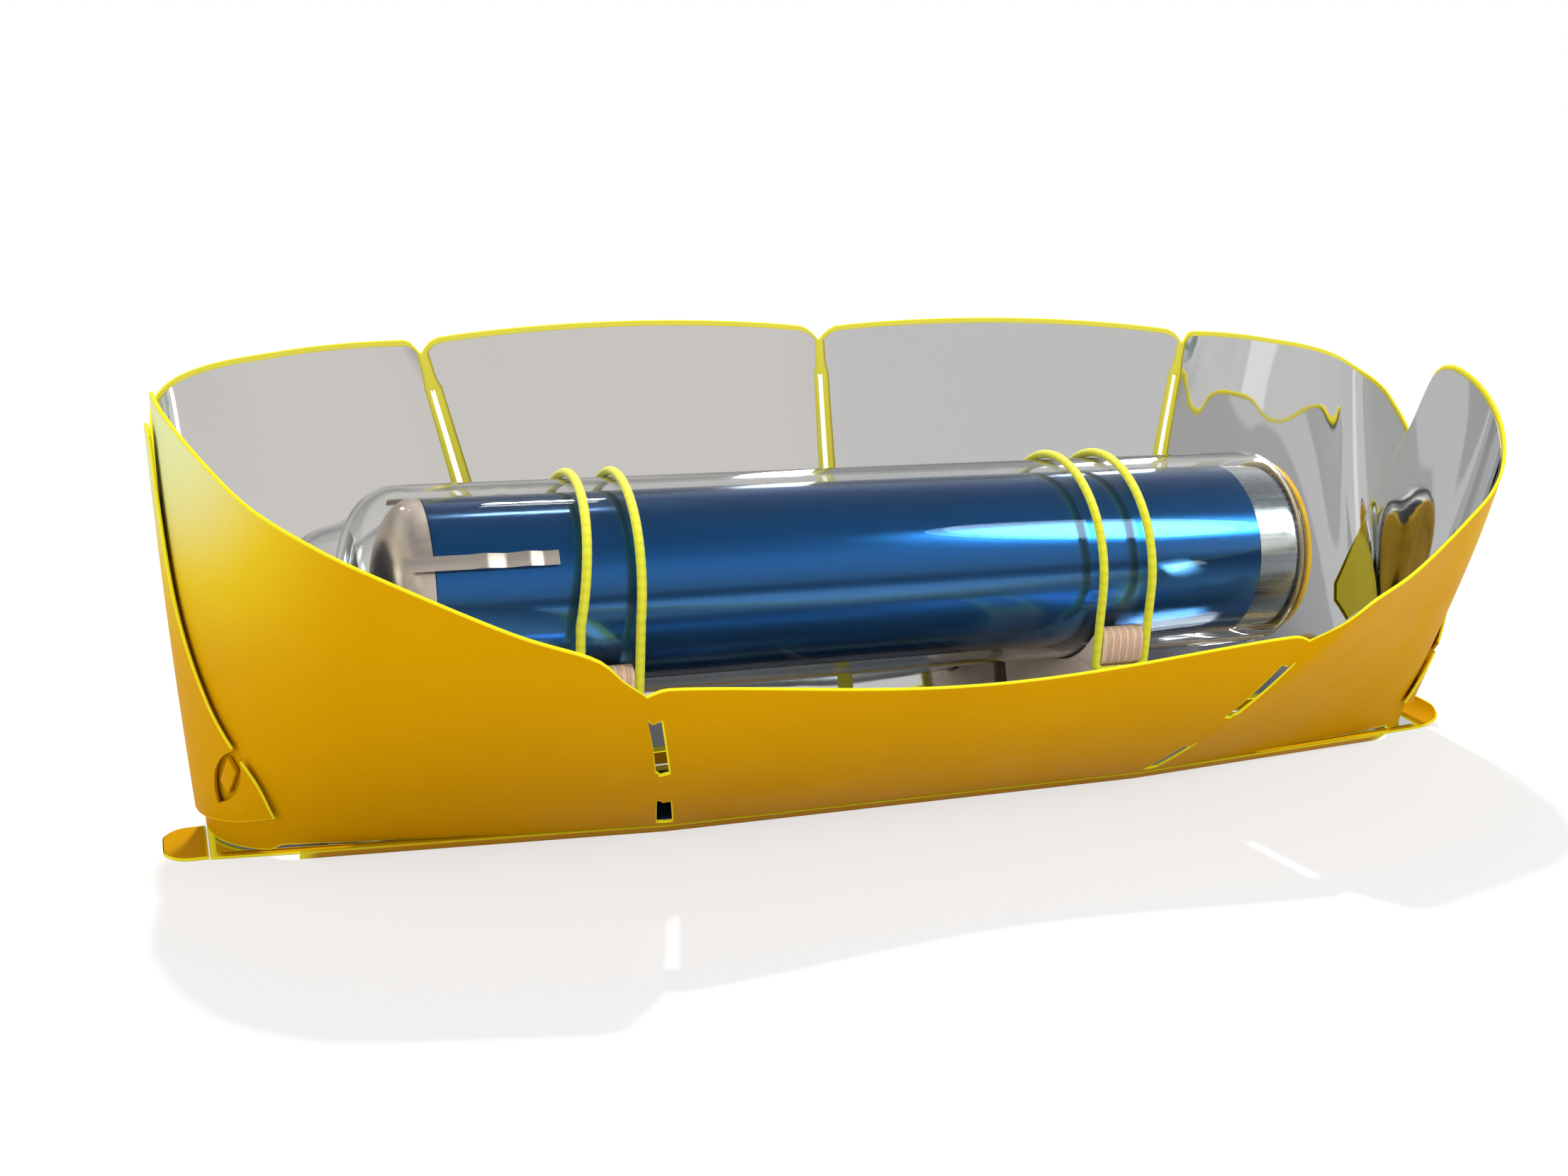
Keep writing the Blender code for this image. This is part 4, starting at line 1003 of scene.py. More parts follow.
def films(paint):
    """The mirror film on each panel, inside its yellow border."""
    def front_end(share):
        return front_end_path(share, RIM_BORDER, FILM_END + FILM_SLANT * share)

    def front_centre(share):
        return front_centre_path(share, RIM_BORDER)

    def back_inner(share):
        return back_inner_path(share, RIM_BORDER)

    def back_end(share):
        return back_end_path(share, RIM_BORDER)

    top = -SHEET / 2 - GAP
    right_side = (
        ("front_end_mirror", "front_wall", film_net(front_end, FRONT_SLOTS, FRONT_END_FILM, False)),
        ("back_inner_mirror", "back_wall", film_net(back_inner, BACK_SLOTS, BACK_INNER_FILM, True)),
        ("back_end_mirror", "back_wall", film_net(back_end, BACK_SLOTS, BACK_END_FILM, False)),
    )
    for name, body, grid in right_side:
        for label, net in (("_right", grid), ("_left", mirrored(grid))):
            film = plate("film_" + name + label, net, top, top - FILM, paint, rounding=0.0)
            place_piece(film, body, "mirror_film", name + label)
    centre = film_net(front_centre, FRONT_SLOTS, FRONT_CENTRE_FILM, True)
    film = plate("film_front_centre", centre, top, top - FILM, paint, rounding=0.0)
    place_piece(film, "front_wall", "mirror_film", "front_centre_mirror")


# Lock flaps

def frame_at(number, height):
    """A point on the end shell with its along, up and outward directions."""
    step, rise = 0.01, 0.001
    here = end_wall(number, height)
    along = end_wall(number + step, height) - end_wall(number - step, height)
    up = end_wall(number, height + rise) - end_wall(number, height - rise)
    along /= np.linalg.norm(along)
    up /= np.linalg.norm(up)
    out = np.cross(up, along)
    out /= np.linalg.norm(out)
    return here, along, up, -out if out[0] < 0 else out


def lens_outline(long, wide):
    """A pointed lens from two equal arcs."""
    radius = (long * long + wide * wide) / (2 * wide)
    reach = asin(long / radius)
    half = arc(wide - radius, 0.0, radius, -reach, reach, LENS_STEPS + 1)[:-1]
    return half + [(-x, -y) for x, y in half]


def plate_on_shell(name, outline, near, far, side, paint):
    """A small plate with a flat outline, standing on the end shell."""
    place, along, up, out = frame_at(LENS_COLUMN, LENS_HEIGHT)
    skins = []
    for offset in (near, far):
        skin = []
        for x, y in outline:
            across = x * cos(LENS_TILT) - y * sin(LENS_TILT)
            rise = x * sin(LENS_TILT) + y * cos(LENS_TILT)
            skin.append((place + along * across + up * rise + out * offset) * np.array((side, 1, 1)))
        skins.append(skin)
    return prism(name, *skins, paint)


def flap_net(side):
    """A lock flap's net, from its curved free edge to the corner."""
    grid = []
    for share in row_shares(0.0, FLAP_HEIGHT, (), FLAP_ROWS):
        path = []
        for number in np.linspace(eased(FLAP_EDGE, share), CORNER, FLAP_STEPS):
            low, high = eased(FLAP_BOTTOM, number), eased(FLAP_TOP, number)
            path.append(end_wall(number, low + (high - low) * share))
        grid.append(spaced(path, FLAP_COLUMNS, NEAR_RIM, (SCORE / 2,)))
    return np.array(grid) * np.array((side, 1, 1))


def lock_flaps(paint):
    """Each flap has a lens hole, and the front sheet's slanted tab shows in it."""
    slant = TAB_LONG * TAB_SLANT
    half = TAB_WIDE / 2
    tab = [(-half, -TAB_LONG), (half, -slant), (half, TAB_LONG), (-half, slant)]
    lens = lens_outline(LENS_LONG, LENS_WIDE)
    for label, side in (("right", 1), ("left", -1)):
        flap = plate("flap_" + label, flap_net(side), SHEET / 2, -SHEET / 2, paint)
        cutter = plate_on_shell("lens_cutter", lens, *CUTTER_REACH, side, paint)
        cut = flap.modifiers.new("cut", "BOOLEAN")
        cut.solver = "EXACT"
        cut.object = cutter
        apply_modifiers(flap)
        bpy.data.objects.remove(cutter, do_unlink=True)
        smooth(flap.data, RIM_ANGLE)
        place_piece(flap, "flap_" + label, "yellow_sheet", "lock_flap_" + label)
        piece = plate_on_shell("tab_" + label, tab, SHEET / 2 + GAP - WRAP, SHEET / 2 - GAP, side, paint)
        soften(piece, EDGE_ROUND, 2)
        place_piece(piece, "front_wall", "yellow_sheet", "lock_tab_" + label)


# Base strip, spines and tongues

def crease_line(fold, end_x, end_y):
    """A long edge's plan line, from the left end through its fold to the right end."""
    return ((-end_x, end_y), *fold, (end_x, end_y))


def strip_net(inset, height):
    """The base strip's net, its edges drawn in by the inset."""
    front = crease_line(FRONT_FOLD, BASE_END_X, -BASE_END_HALF)
    back = crease_line(BACK_FOLD, BASE_END_X, BASE_END_HALF)
    end = BASE_END_X - inset
    corners = {x for x, _ in FRONT_FOLD + BACK_FOLD if x}
    xs = sorted(set(np.linspace(-end, end, 91)) | corners)
    grid = []
    for share in STRIP_SHARES:
        row = []
        for x in xs:
            low = np.interp(x, *zip(*front)) + inset
            high = np.interp(x, *zip(*back)) - inset
            row.append((x, low + (high - low) * share, height))
        grid.append(row)
    return np.array(grid)


def base_strip(paint, film_paint):
    """The strip's two long edges meet the creases, and its ends narrow to tongues."""
    half = SHEET / 2
    above = (0, 0, 1)
    strip = plate("strip", strip_net(0.0, half), half, -half, paint, level=(), inside=above)
    place_piece(strip, "base", "yellow_sheet", "base_strip")
    film_height = SHEET + GAP + FILM / 2
    film = plate("film_base", strip_net(RIM_BORDER, film_height), FILM / 2, -FILM / 2, film_paint,
                 level=(), inside=above, rounding=0.0)
    place_piece(film, "base", "mirror_film", "base_mirror")


def spine(name, foot, outward, lean, paint):
    """The narrow band between the base's edge and a wall, along a plan line."""
    xs = np.linspace(foot[0][0], foot[-1][0], 61)
    ys = np.interp(xs, *zip(*foot))
    grid = []
    for share in SPINE_SHARES:
        set_out = outward * (lean * share + SCORE + SHEET / 2)
        grid.append([(x, y + set_out, SPINE_HEIGHT * share) for x, y in zip(xs, ys)])
    band = plate(name + "_band", np.array(grid), SHEET / 2, -SHEET / 2, paint,
                 level=(0, -1), rounding=SPINE_ROUND)
    place_piece(band, "base", "yellow_sheet", name)


def spines(paint):
    """The band in front of the base strip and the band behind it."""
    spine("front_spine", crease_line(FRONT_FOLD, SPINE_X, SPINE_FRONT_Y), -1, SPINE_LEAN, paint)
    spine("back_spine", crease_line(BACK_FOLD, SPINE_X, SPINE_BACK_Y), 1, SPINE_BACK_LEAN, paint)


def flat_tongue_net(start):
    """A level tongue with two round corners."""
    straight = TONGUE_LENGTH - TONGUE_CORNER
    round_part = TONGUE_LENGTH - TONGUE_CORNER * (1 - np.sin(np.linspace(0, pi / 2, 14)[1:]))
    grid = []
    for depth in (*np.linspace(0.0, straight, 6), *round_part):
        past = max(0.0, depth - straight) / TONGUE_CORNER
        width = TONGUE_HALF - TONGUE_CORNER * (1 - sqrt(max(0.0, 1 - past * past)))
        grid.append([(-start - depth, width * (2 * s - 1), SHEET / 2) for s in TONGUE_SHARES])
    return np.array(grid)


def rolled_tongue_net(start):
    """A tongue that rolls up from the strip and narrows past its middle."""
    radius = TONGUE_ROLL - SHEET / 2
    grid = []
    for turn in np.linspace(0.0, TONGUE_ROLL_TURN, 26):
        past = max(0.0, turn / TONGUE_ROLL_TURN - TONGUE_TAPER_START)
        width = TONGUE_HALF * sqrt(max(TONGUE_LEAST, 1 - past ** 2 / TONGUE_TAPER))
        x, z = start + radius * sin(turn), SHEET / 2 + radius * (1 - cos(turn))
        grid.append([(x, width * (2 * s - 1), z) for s in TONGUE_SHARES])
    return np.array(grid)


def tongues(paint):
    """One tongue lies flat with rounded corners, the other is rolled up."""
    half = SHEET / 2
    start = BASE_END_X + SCORE
    left = plate("tongue_flat", flat_tongue_net(start), half, -half, paint,
                 level=(), inside=(-start, 0, 1))
    place_piece(left, "tongue_left", "yellow_sheet", "tongue_left")
    right = plate("tongue_rolled", rolled_tongue_net(start), half, -half, paint,
                  level=(), inside=(start, 0.0, TONGUE_ROLL))
    place_piece(right, "tongue_right", "yellow_sheet", "tongue_right")


# The cooking tube

def lathe(name, profile, paint, steps=ROUND_STEPS, drop=0.0):
    """Turn a closed (x, radius) outline about the tube's axis, or below it."""
    points = []
    rings = []
    centre = TUBE_AXIS - drop
    for x, radius in profile:
        if radius < TINY:
            rings.append([len(points)] * steps)
            points.append((x, 0.0, centre))
        else:
            rings.append(list(range(len(points), len(points) + steps)))
            for step in range(steps):
                turn = 2 * pi * step / steps
                points.append((x, radius * sin(turn), centre + radius * cos(turn)))
    faces = []
    for here, there in zip(rings, rings[1:] + rings[:1]):
        for step in range(steps):
            ahead = (step + 1) % steps
            corners = [here[step], here[ahead], there[ahead], there[step]]
            ring = [c for i, c in enumerate(corners) if c not in corners[:i]]
            if len(ring) > 2:
                faces.append(tuple(ring))
    return closed_piece(name, points, faces, paint)


def dome(tip_x, length, radius):
    """Points of a blunt dome from its pole to its full radius."""
    points = []
    for angle in np.linspace(0.0, pi / 2, DOME_STEPS + 1):
        past_tip = 1 - cos(angle) ** (2 / DOME_POWER)
        points.append((tip_x + length * past_tip, radius * sin(angle) ** (2 / DOME_POWER)))
    return points


def outer_glass_profile():
    """The outer glass closes inward at the mouth, where both tubes fuse."""
    throat = INNER_RADIUS + GAP
    bend = TUBE_RADIUS - throat
    outside = arc(MOUTH_X - bend, throat, bend, pi / 2, 0.0, 16)
    inside = arc(MOUTH_X - bend, throat, bend - GLASS, 0.0, pi / 2, 12)
    return (dome(DOME_X, DOME_LENGTH, TUBE_RADIUS) + outside + inside
            + dome(DOME_X + GLASS, DOME_LENGTH, TUBE_RADIUS - GLASS)[::-1])


def inner_glass_profile():
    """The inner glass, domed at one end, with a round lip at the mouth."""
    lip = arc(MOUTH_X - GLASS / 2, INNER_RADIUS - GLASS / 2, GLASS / 2, pi / 2, -pi / 2, 9)
    return (dome(INNER_DOME_X, INNER_DOME_LENGTH, INNER_RADIUS) + lip
            + dome(INNER_DOME_X + GLASS, INNER_DOME_LENGTH, INNER_RADIUS - GLASS)[::-1])


def shell_band(start, stop, radius, wall, count):
    """The outline of a thin sleeve, with rings close enough to stay smooth."""
    xs = list(np.linspace(start, stop, count))
    return [(x, radius + wall) for x in xs] + [(x, radius) for x in xs[::-1]]


def cup_profile(sleeve):
    """The metal cup over the inner dome, up to the coating's edge."""
    stop = COAT_START_X - GAP
    cap = dome(INNER_DOME_X - GAP - FILM, INNER_DOME_LENGTH, sleeve + FILM)
    under = dome(INNER_DOME_X - GAP, INNER_DOME_LENGTH, sleeve)
    return cap + [(stop, sleeve + FILM), (stop, sleeve)] + under[::-1]


def getter_profile():
    """The silvered spot inside the outer dome, round its pole."""
    lining = TUBE_RADIUS - GLASS - GAP
    outer = dome(DOME_X + GLASS + GAP, DOME_LENGTH, lining)[:GETTER_RINGS]
    inner = dome(DOME_X + GLASS + GAP + FILM, DOME_LENGTH, lining - FILM)[:GETTER_RINGS]
    return outer + inner[::-1]


def nib_profile():
    """The sealed tip on the dome, round at its end."""
    base_x = DOME_X - GAP
    reach = NIB_LENGTH - GAP
    turns = np.linspace(NIB_SHOULDER, pi / 2, 9)[:-1]
    tip = [(base_x - reach * sin(turn), NIB_RADIUS * cos(turn)) for turn in turns]
    return [(base_x, 0.0), (base_x, NIB_RADIUS), *tip, (DOME_X - NIB_LENGTH, 0.0)]


def cooking_tube(glass, coat, steel, getter):
    """Everything that turns with the tube: two glasses, coating, cup, getter spot, nib and springs."""
    sleeve = INNER_RADIUS + GAP
    coating = shell_band(COAT_START_X, COAT_END_X, sleeve, FILM, 30)
    pieces = [
        (lathe("glass_outer", outer_glass_profile(), glass), "clear_glass", "outer_glass"),
        (lathe("glass_inner", inner_glass_profile(), glass), "clear_glass", "inner_glass"),
        (lathe("coating", coating, coat), "absorber_blue", "absorber_coating"),
        (lathe("cup", cup_profile(sleeve), steel), "spring_steel", "support_cup"),
        (lathe("getter", getter_profile(), getter), "getter_silver", "getter_mirror"),
        (lathe("nib", nib_profile(), glass, THIN_STEPS), "clear_glass", "seal_nib"),
    ]
    for number, turn in enumerate(SPRING_TURNS, 1):
        spring = spring_arm("spring_%d" % number, turn, steel)
        pieces.append((spring, "spring_steel", "support_arm_%d" % number))
    for piece, slot, node in pieces:
        place_piece(piece, "tube", slot, node)


def spring_arm(name, turn, paint):
    """A spring strip with shallow kinks along it, hugging the inner tube."""
    radius = INNER_RADIUS + 2 * GAP + 2 * FILM + SPRING_LIFT
    start = INNER_DOME_X + SPRING_START
    grid = []
    for share in np.linspace(0.0, 1.0, 61):
        lift = SPRING_RIPPLE * np.interp(share, *zip(*SPRING_WAVES))
        x = start + (SPRING_END_X - start) * share
        row = []
        for across in np.linspace(-0.5, 0.5, 9):
            angle = turn + across * SPRING_WIDTH / radius
            row.append((x, (radius + lift) * sin(angle), TUBE_AXIS + (radius + lift) * cos(angle)))
        grid.append(row)
    return plate(name, np.array(grid), FILM / 2, -FILM / 2, paint, level=(),
                 inside=(start, 0.0, TUBE_AXIS), rounding=0.0)


def stopper(orange, steel):
    """The stopper with its dished face, the collar round its plug, and the tray behind it."""
    collar = INNER_RADIUS - GLASS - GAP
    plug = collar - COLLAR_WALL - GAP
    face = MOUTH_X + GAP
    back = face + STOPPER_FLANGE
    plug_end = face - PLUG_LENGTH
    rim = STOPPER_RADIUS - STOPPER_ROUND
    profile = [(plug_end, 0.0), *arc(plug_end + PLUG_ROUND, plug - PLUG_ROUND, PLUG_ROUND, pi, pi / 2, 7),
               (face, plug), *arc(face + STOPPER_ROUND, rim, STOPPER_ROUND, pi, pi / 2, 7),
               *arc(back - STOPPER_ROUND, rim, STOPPER_ROUND, pi / 2, 0, 7)]
    profile += [(back - depth, DISH_RADIUS - inward) for depth, inward in DISH]
    profile.append((back - DISH[-1][0], 0.0))
    place_piece(lathe("stopper_cap", profile, orange), "tray", "stopper_orange", "stopper")
    ring = shell_band(face - GAP - COLLAR_LENGTH, face - GAP, collar - COLLAR_WALL, COLLAR_WALL, 8)
    place_piece(lathe("collar", ring, steel), "tray", "tray_steel", "tray_collar")
    tray(plug_end - GAP, steel)


def tray_arc(radius):
    """Half a circle that stops just short of the tube's axis height."""
    reach = pi / 2 - asin(TRAY_RIM_RISE / radius)
    turns = np.linspace(-1, 1, TRAY_STEPS) * reach
    return [(radius * sin(turn), TUBE_AXIS - radius * cos(turn)) for turn in turns]


def tray(end_x, steel):
    """A half-round trough closed at both ends, with a rod to the stopper."""
    far = end_x - ROD_LENGTH
    inner = TRAY_RADIUS - TRAY_WALL
    points = []
    for x, radius in ((TRAY_START_X, TRAY_RADIUS), (far, TRAY_RADIUS),
                      (TRAY_START_X + TRAY_END_WALL, inner), (far - TRAY_END_WALL, inner)):
        points += [(x, y, z) for y, z in tray_arc(radius)]
    out_near, out_far, in_near, in_far = (TRAY_STEPS * number for number in range(4))
    last = TRAY_STEPS - 1
    faces = []
    for k in range(last):
        faces.append((out_near + k, out_near + k + 1, out_far + k + 1, out_far + k))
        faces.append((in_near + k, in_far + k, in_far + k + 1, in_near + k + 1))
    faces += [tuple(range(out_near + last, out_near - 1, -1)), tuple(range(out_far, out_far + TRAY_STEPS)),
              tuple(range(in_near, in_near + TRAY_STEPS)), tuple(range(in_far + last, in_far - 1, -1)),
              (out_near, out_far, in_far, in_near),
              (out_near + last, in_near + last, in_far + last, out_far + last),
              (out_near, in_near, in_near + last, out_near + last),
              (out_far, out_far + last, in_far + last, in_far)]
    place_piece(closed_piece("food_tray", points, faces, steel), "tray", "tray_steel", "tray")
    rod = [(far + GAP, 0.0), (far + GAP, ROD_RADIUS), (end_x, ROD_RADIUS), (end_x, 0.0)]
    place_piece(lathe("rod", rod, steel, THIN_STEPS, ROD_DROP), "tray", "tray_steel", "tray_rod")


# Saddles and loops

def saddle_outline():
    """Half of the saddle's Y-Z outline, from the foot's middle outward."""
    cradle = TUBE_RADIUS + SCORE
    floor_z = SHEET + GAP + FILM + GAP - TUBE_AXIS
    hook_z = -HOOK_DROP
    hook_y = SADDLE_HALF - HOOK_DEPTH + HOOK_ROUND
    arm_y = sqrt(cradle ** 2 - SADDLE_ARM_TOP ** 2)
    crown = (SADDLE_HALF - arm_y) / 2
    start = atan2(arm_y, SADDLE_ARM_TOP) * CRADLE_START
    return [(0.0, floor_z), (SADDLE_FOOT_HALF, floor_z),
            (SADDLE_FOOT_HALF + SADDLE_FLARE, floor_z + SADDLE_FLARE_RISE),
            (SADDLE_HALF - SADDLE_WAIST, hook_z - SADDLE_WAIST_DROP),
            (SADDLE_HALF, hook_z - HOOK_HALF), *arc(hook_y, hook_z, HOOK_ROUND, 1.5 * pi, 0.5 * pi, 13),
            (SADDLE_HALF, hook_z + HOOK_HALF),
            *arc(arm_y + crown, -SADDLE_ARM_TOP - SADDLE_CROWN_DROP, crown, 0.0, pi, 15),
            *arc(0.0, 0.0, cradle, start - pi / 2, -pi / 2, 36)]


def saddles(ply):
    """The two plywood saddles that carry the tube."""
    half = saddle_outline()
    outline = half + [(-y, z) for y, z in reversed(half[1:-1])]
    for label, centre in zip(("left", "right"), SADDLE_X):
        faces_x = (centre - SADDLE_THICK / 2, centre + SADDLE_THICK / 2)
        near, far = ([(x, y, z + TUBE_AXIS) for y, z in outline] for x in faces_x)
        cradle = prism("cradle_" + label, near, far, ply)
        soften(cradle, SADDLE_ROUND, 3)
        place_piece(cradle, "stand", "plywood", "saddle_" + label)


def loop_route(centre, leans):
    """The closed loop's centre line: over the tube twice, round both hooks."""
    reach = TUBE_RADIUS + GAP + CORD_RADIUS
    side = SADDLE_THICK / 2 + GAP + CORD_RADIUS
    hook = -HOOK_DROP
    turns = np.linspace(-pi / 2, pi / 2, LOOP_STEPS)
    first = [(side + leans[0] * cos(a), reach * sin(a), reach * cos(a)) for a in turns]
    second = [(-side + leans[1] * cos(a), reach * sin(a), reach * cos(a)) for a in turns[::-1]]
    corner = [(side - CORD_BEND * (1 - cos(a)), reach, hook + CORD_BEND * (1 - sin(a)))
              for a in np.linspace(0.0, pi / 2, 12)]
    far = [(-x, y, z) for x, y, z in reversed(corner)]
    near = [(x, -y, z) for x, y, z in reversed(far)] + [(x, -y, z) for x, y, z in reversed(corner)]
    return [(centre + x, y, z + TUBE_AXIS) for x, y, z in first + corner + far + second + near]


def braid_tree(paint):
    """Geometry nodes: a route becomes a cord whose skin is two crossing sets of strands."""
    tree = bpy.data.node_groups.new("braided_cord", "GeometryNodeTree")
    tree.interface.new_socket("Geometry", in_out="INPUT", socket_type="NodeSocketGeometry")
    for name, kind, size in BRAID_SIZES:
        tree.interface.new_socket(name, in_out="INPUT", socket_type=kind).default_value = size
    tree.interface.new_socket("Geometry", in_out="OUTPUT", socket_type="NodeSocketGeometry")
    nodes = Nodes(tree)

    def with_measure(geometry, measure, name):
        """The geometry with a measure of its curve kept for the skin made from it."""
        kept = nodes.node("GeometryNodeCaptureAttribute", {"domain": "POINT"}, {"Geometry": geometry})
        kept.capture_items.new("FLOAT", name)
        tree.links.new(nodes.node("GeometryNodeSplineParameter").outputs[measure], kept.inputs[name])
        return kept.outputs["Geometry"], Value(nodes, kept.outputs[name])

    given = nodes.node("NodeGroupInput").outputs
    curve = nodes.node("GeometryNodeMeshToCurve", None, {"Mesh": given["Geometry"]})
    rings = nodes.node("GeometryNodeResampleCurve", None,
                       {"Curve": curve.outputs["Curve"], "Count": given["Rings"]})
    side = nodes.node("GeometryNodeCurvePrimitiveCircle", None,
                      {"Resolution": given["Sides"], "Radius": given["Radius"]})
    rail, along = with_measure(rings.outputs["Curve"], "Length", "along")
    profile, around = with_measure(side.outputs["Curve"], "Factor", "around")
    skin = nodes.node("GeometryNodeCurveToMesh", None, {"Curve": rail, "Profile Curve": profile})
    strand = around * given["Carriers"]
    twist = along / given["Pitch"] * given["Carriers"]
    right = (strand + twist).maths("PINGPONG", 0.5)
    left = (strand - twist).maths("PINGPONG", 0.5)
    lift = right.maths("MAXIMUM", left) * 2.0
    normal = nodes.node("GeometryNodeInputNormal").outputs["Normal"]
    offset = nodes.node("ShaderNodeVectorMath", {"operation": "SCALE"},
                        {"Vector": normal, "Scale": (lift - 1.0) * given["Relief"]})
    marked = nodes.node("GeometryNodeStoreNamedAttribute", {"data_type": "FLOAT", "domain": "POINT"},
                        {"Geometry": skin.outputs["Mesh"], "Name": "lift", "Value": lift})
    moved = nodes.node("GeometryNodeSetPosition", None,
                       {"Geometry": marked.outputs["Geometry"], "Offset": offset.outputs["Vector"]})
    whole = nodes.node("GeometryNodeRealizeInstances", None, {"Geometry": moved.outputs["Geometry"]})
    painted = nodes.node("GeometryNodeSetMaterial", None,
                         {"Geometry": whole.outputs["Geometry"], "Material": paint})
    nodes.node("NodeGroupOutput", None, {"Geometry": painted.outputs["Geometry"]})
    return tree


def elastic_loops(paint):
    """One closed loop of braided elastic on each saddle."""
    tree = braid_tree(paint)
    for label, centre, leans in zip(("left", "right"), SADDLE_X, LOOP_LEANS):
        route = loop_route(centre, leans)
        mesh = bpy.data.meshes.new("loop_" + label)
        mesh.from_pydata(route, [(i, (i + 1) % len(route)) for i in range(len(route))], [])
        loop = bpy.data.objects.new("loop_" + label, mesh)
        bpy.context.collection.objects.link(loop)
        braid = loop.modifiers.new("braid", "NODES")
        braid.node_group = tree
        apply_modifiers(loop)
        turn_outward(loop.data)
        loop.data.shade_smooth()
        place_piece(loop, "stand", "elastic_lime", "elastic_loop_" + label)


# Studio

CAMERA_PLACE = (-0.23645, -0.51308, 0.24195)
CAMERA_AZIMUTH = -0.366382
CAMERA_ELEVATION = 0.301793
CAMERA_ROLL = 0.048798
PHOTO_WIDTH = 2212
FOCAL_PIXELS = 2434.87
SENSOR = 36.0
FLOOR_REACH = 3.0
FLOOR_GLOW = 0.65
WHITE = (1.0, 1.0, 1.0)

# What mirrors see of the room, by how steeply they look up: 0 is level or below, 1 straight up
ROOM = ((0.0, (0.30, 0.31, 0.33)), (0.10, (0.36, 0.36, 0.37)), (0.18, (0.74, 0.73, 0.72)),
        (0.42, (0.76, 0.755, 0.75)), (0.56, (0.66, 0.66, 0.67)), (0.70, (0.36, 0.37, 0.39)),
        (0.86, (0.20, 0.21, 0.23)), (1.0, (0.16, 0.17, 0.19)))
DAPPLE = ((0.36, (0.16, 0.18, 0.17)), (0.46, (0.42, 0.52, 0.45)), (0.54, (0.95, 0.97, 0.96)),
          (0.64, (0.62, 0.68, 0.66)))

# Patches of the room: the direction of each, and its half angles where it starts to fade and ends
DAPPLE_PATCH = ((0.93, -0.28, 0.24), 0.16, 0.42)
WHITE_PATCHES = (((-0.65, -0.69, 0.39), 0.16, 0.20), ((0.64, -0.71, 0.28), 0.10, 0.12))
DIFFUSE_ROOM = (0.60, 0.60, 0.62)


def camera():
    """The camera at the photograph's place, turn, roll and lens."""
    back = Vector((sin(CAMERA_AZIMUTH) * cos(CAMERA_ELEVATION),
                   -cos(CAMERA_AZIMUTH) * cos(CAMERA_ELEVATION), sin(CAMERA_ELEVATION)))
    right = (-back).cross(Vector((0, 0, 1))).normalized()
    up = right.cross(-back)
    rolled_right = right * cos(CAMERA_ROLL) + up * sin(CAMERA_ROLL)
    rolled_up = up * cos(CAMERA_ROLL) - right * sin(CAMERA_ROLL)
    data = bpy.data.cameras.new("camera")
    data.sensor_width = SENSOR
    data.lens = FOCAL_PIXELS / PHOTO_WIDTH * SENSOR
    data.clip_start = 0.01
    made = bpy.data.objects.new("camera", data)
    bpy.context.collection.objects.link(made)
    pose = Matrix((rolled_right, rolled_up, back)).transposed().to_4x4()
    made.matrix_world = Matrix.Translation(CAMERA_PLACE) @ pose
    bpy.context.scene.camera = made


def seen_directly(nodes):
    """Two masks: rays that see the backdrop straight, in a mirror or through glass, and straight alone."""
    path = nodes.node("ShaderNodeLightPath").outputs
    total = Value(nodes, path["Is Camera Ray"])
    for name in ("Is Glossy Ray", "Is Transmission Ray"):
        total = total.maths("MAXIMUM", path[name])
    return total, path["Is Camera Ray"]


def room_patch(direction, towards, narrow, wide):
    """1 near one direction of the room, easing to 0 away from it."""
    facing = sum((axis * part for axis, part in zip(direction, Vector(towards).normalized())), 0.0)
    return facing.ease(cos(wide), cos(narrow))


def world():
    """White straight behind the object. Mirrors show pale walls, a grey floor and a dim ceiling."""
    made = bpy.data.worlds.new("studio")
    bpy.context.scene.world = made
    made.use_nodes = True
    nodes = Nodes(made.node_tree)
    place = nodes.node("ShaderNodeTexCoord").outputs["Generated"]
    direction = nodes.axes(place)
    seen, camera_ray = seen_directly(nodes)
    mottle = nodes.node("ShaderNodeTexNoise", None, {"Vector": place, "Scale": 9.0, "Detail": 4.0})
    dapple = nodes.ramp(mottle.outputs["Fac"], DAPPLE)
    room = nodes.ramp(direction[2], ROOM)
    room = nodes.mix(room_patch(direction, *DAPPLE_PATCH), room, dapple)
    for towards, narrow, wide in WHITE_PATCHES:
        room = nodes.mix(room_patch(direction, towards, narrow, wide), room, WHITE)
    room = nodes.mix(camera_ray, room, WHITE)
    light = nodes.mix(seen, DIFFUSE_ROOM, room)
    background = nodes.node("ShaderNodeBackground", None, {"Color": light})
    nodes.node("ShaderNodeOutputWorld", None, {"Surface": background.outputs["Background"]})


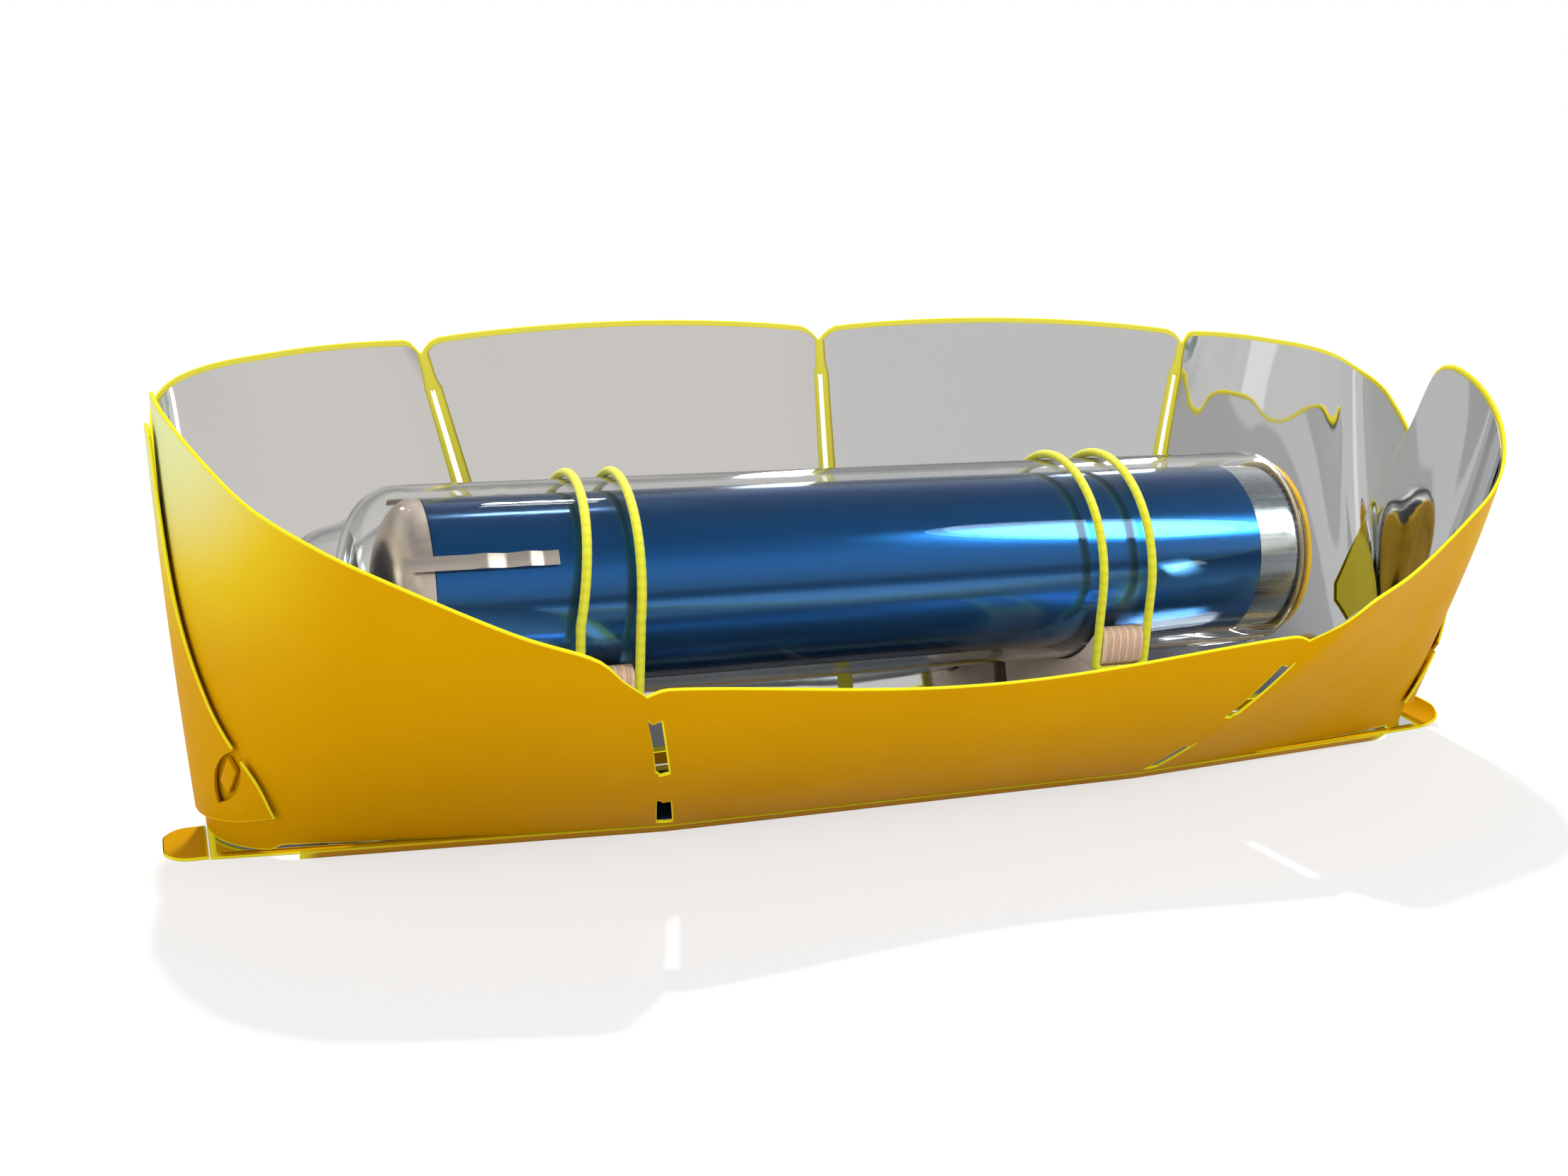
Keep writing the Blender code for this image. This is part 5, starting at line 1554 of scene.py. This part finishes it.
def floor():
    """A plain white floor that keeps a pale shadow."""
    corners = [(FLOOR_REACH * x, FLOOR_REACH * y, 0) for x, y in ((-1, -1), (1, -1), (1, 1), (-1, 1))]
    paint = Paint("floor_white")
    seen = seen_directly(paint)[0]
    matt = paint.node("ShaderNodeBsdfDiffuse", None, {"Color": (0.84, 0.84, 0.84, 1.0)})
    glow = paint.node("ShaderNodeEmission")
    blend = paint.node("ShaderNodeMixShader", None,
                       {"Fac": seen * FLOOR_GLOW, 1: matt.outputs["BSDF"], 2: glow.outputs["Emission"]})
    paint.tree.links.new(blend.outputs["Shader"], paint.output.inputs["Surface"])
    made = make_object("floor", make_mesh("floor", corners, [(0, 1, 2, 3)]), paint.material)
    made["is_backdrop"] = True


def lamp(name, kind, place, target, power, settings):
    """A lamp that points at its target."""
    data = bpy.data.lights.new(name, kind)
    data.energy = power
    for setting, value in settings.items():
        setattr(data, setting, value)
    made = bpy.data.objects.new(name, data)
    bpy.context.collection.objects.link(made)
    made.location = place
    made.rotation_mode = "QUATERNION"
    made.rotation_quaternion = (Vector(target) - Vector(place)).to_track_quat("-Z", "Y")
    return made


def lights():
    """A sun behind for the shadow, a softbox in front and small strips that glint on glass."""
    centre = Vector(TROUGH_MIDDLE)
    lamp("back_sun", "SUN", centre - 2 * Vector((-0.10, -1.0, -1.75)), centre, 2.4, {"angle": radians(2.5)})
    softbox = lamp("front_softbox", "AREA", (-1.65, -1.05, 0.62), centre, 10,
                   {"shape": "RECTANGLE", "size": 1.1, "size_y": 0.8, "color": (1.0, 0.99, 0.97)})
    softbox.visible_glossy = False
    lamp("top_strip", "AREA", (0.10, 0.55, 1.05), centre, 1.6,
         {"shape": "RECTANGLE", "size": 0.12, "size_y": 0.05, "color": (1.0, 0.90, 0.74)})
    lamp("side_strip", "AREA", (0.75, -0.735, 0.91), (0.075, 0.0, 0.08), 5.5,
         {"shape": "ELLIPSE", "size": 0.26, "size_y": 0.60, "color": (0.90, 0.97, 1.0)})


def build():
    """Every finish, piece and lamp, and the camera."""
    yellow = yellow_sheet()
    film = mirror_film()
    glass = clear_glass()
    steel = bright_steel("spring_steel", (0.88, 0.74, 0.62), 0.34, 0.42, (0.05, 1, 1), 0.0002)
    getter = bright_steel("getter_silver", (0.13, 0.135, 0.15), 0.06, 0.12, (1, 1, 1), 0.0003)
    tray_metal = bright_steel("tray_steel", (0.84, 0.86, 0.88), 0.20, 0.30, (0.03, 1, 1), 0.0001)
    front_sheet(yellow)
    back_sheet(yellow)
    films(film)
    lock_flaps(yellow)
    base_strip(yellow, film)
    spines(yellow)
    tongues(yellow)
    cooking_tube(glass, absorber_blue(), steel, getter)
    stopper(stopper_orange(), tray_metal)
    saddles(plywood())
    elastic_loops(elastic_lime())
    camera()
    world()
    floor()
    lights()
    bpy.context.scene.view_settings.view_transform = "Standard"


build()
visual_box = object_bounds()
boxes = {"cad": cad_box, "visual": visual_box}
{name: [list(corner) for corner in box] for name, box in boxes.items()}
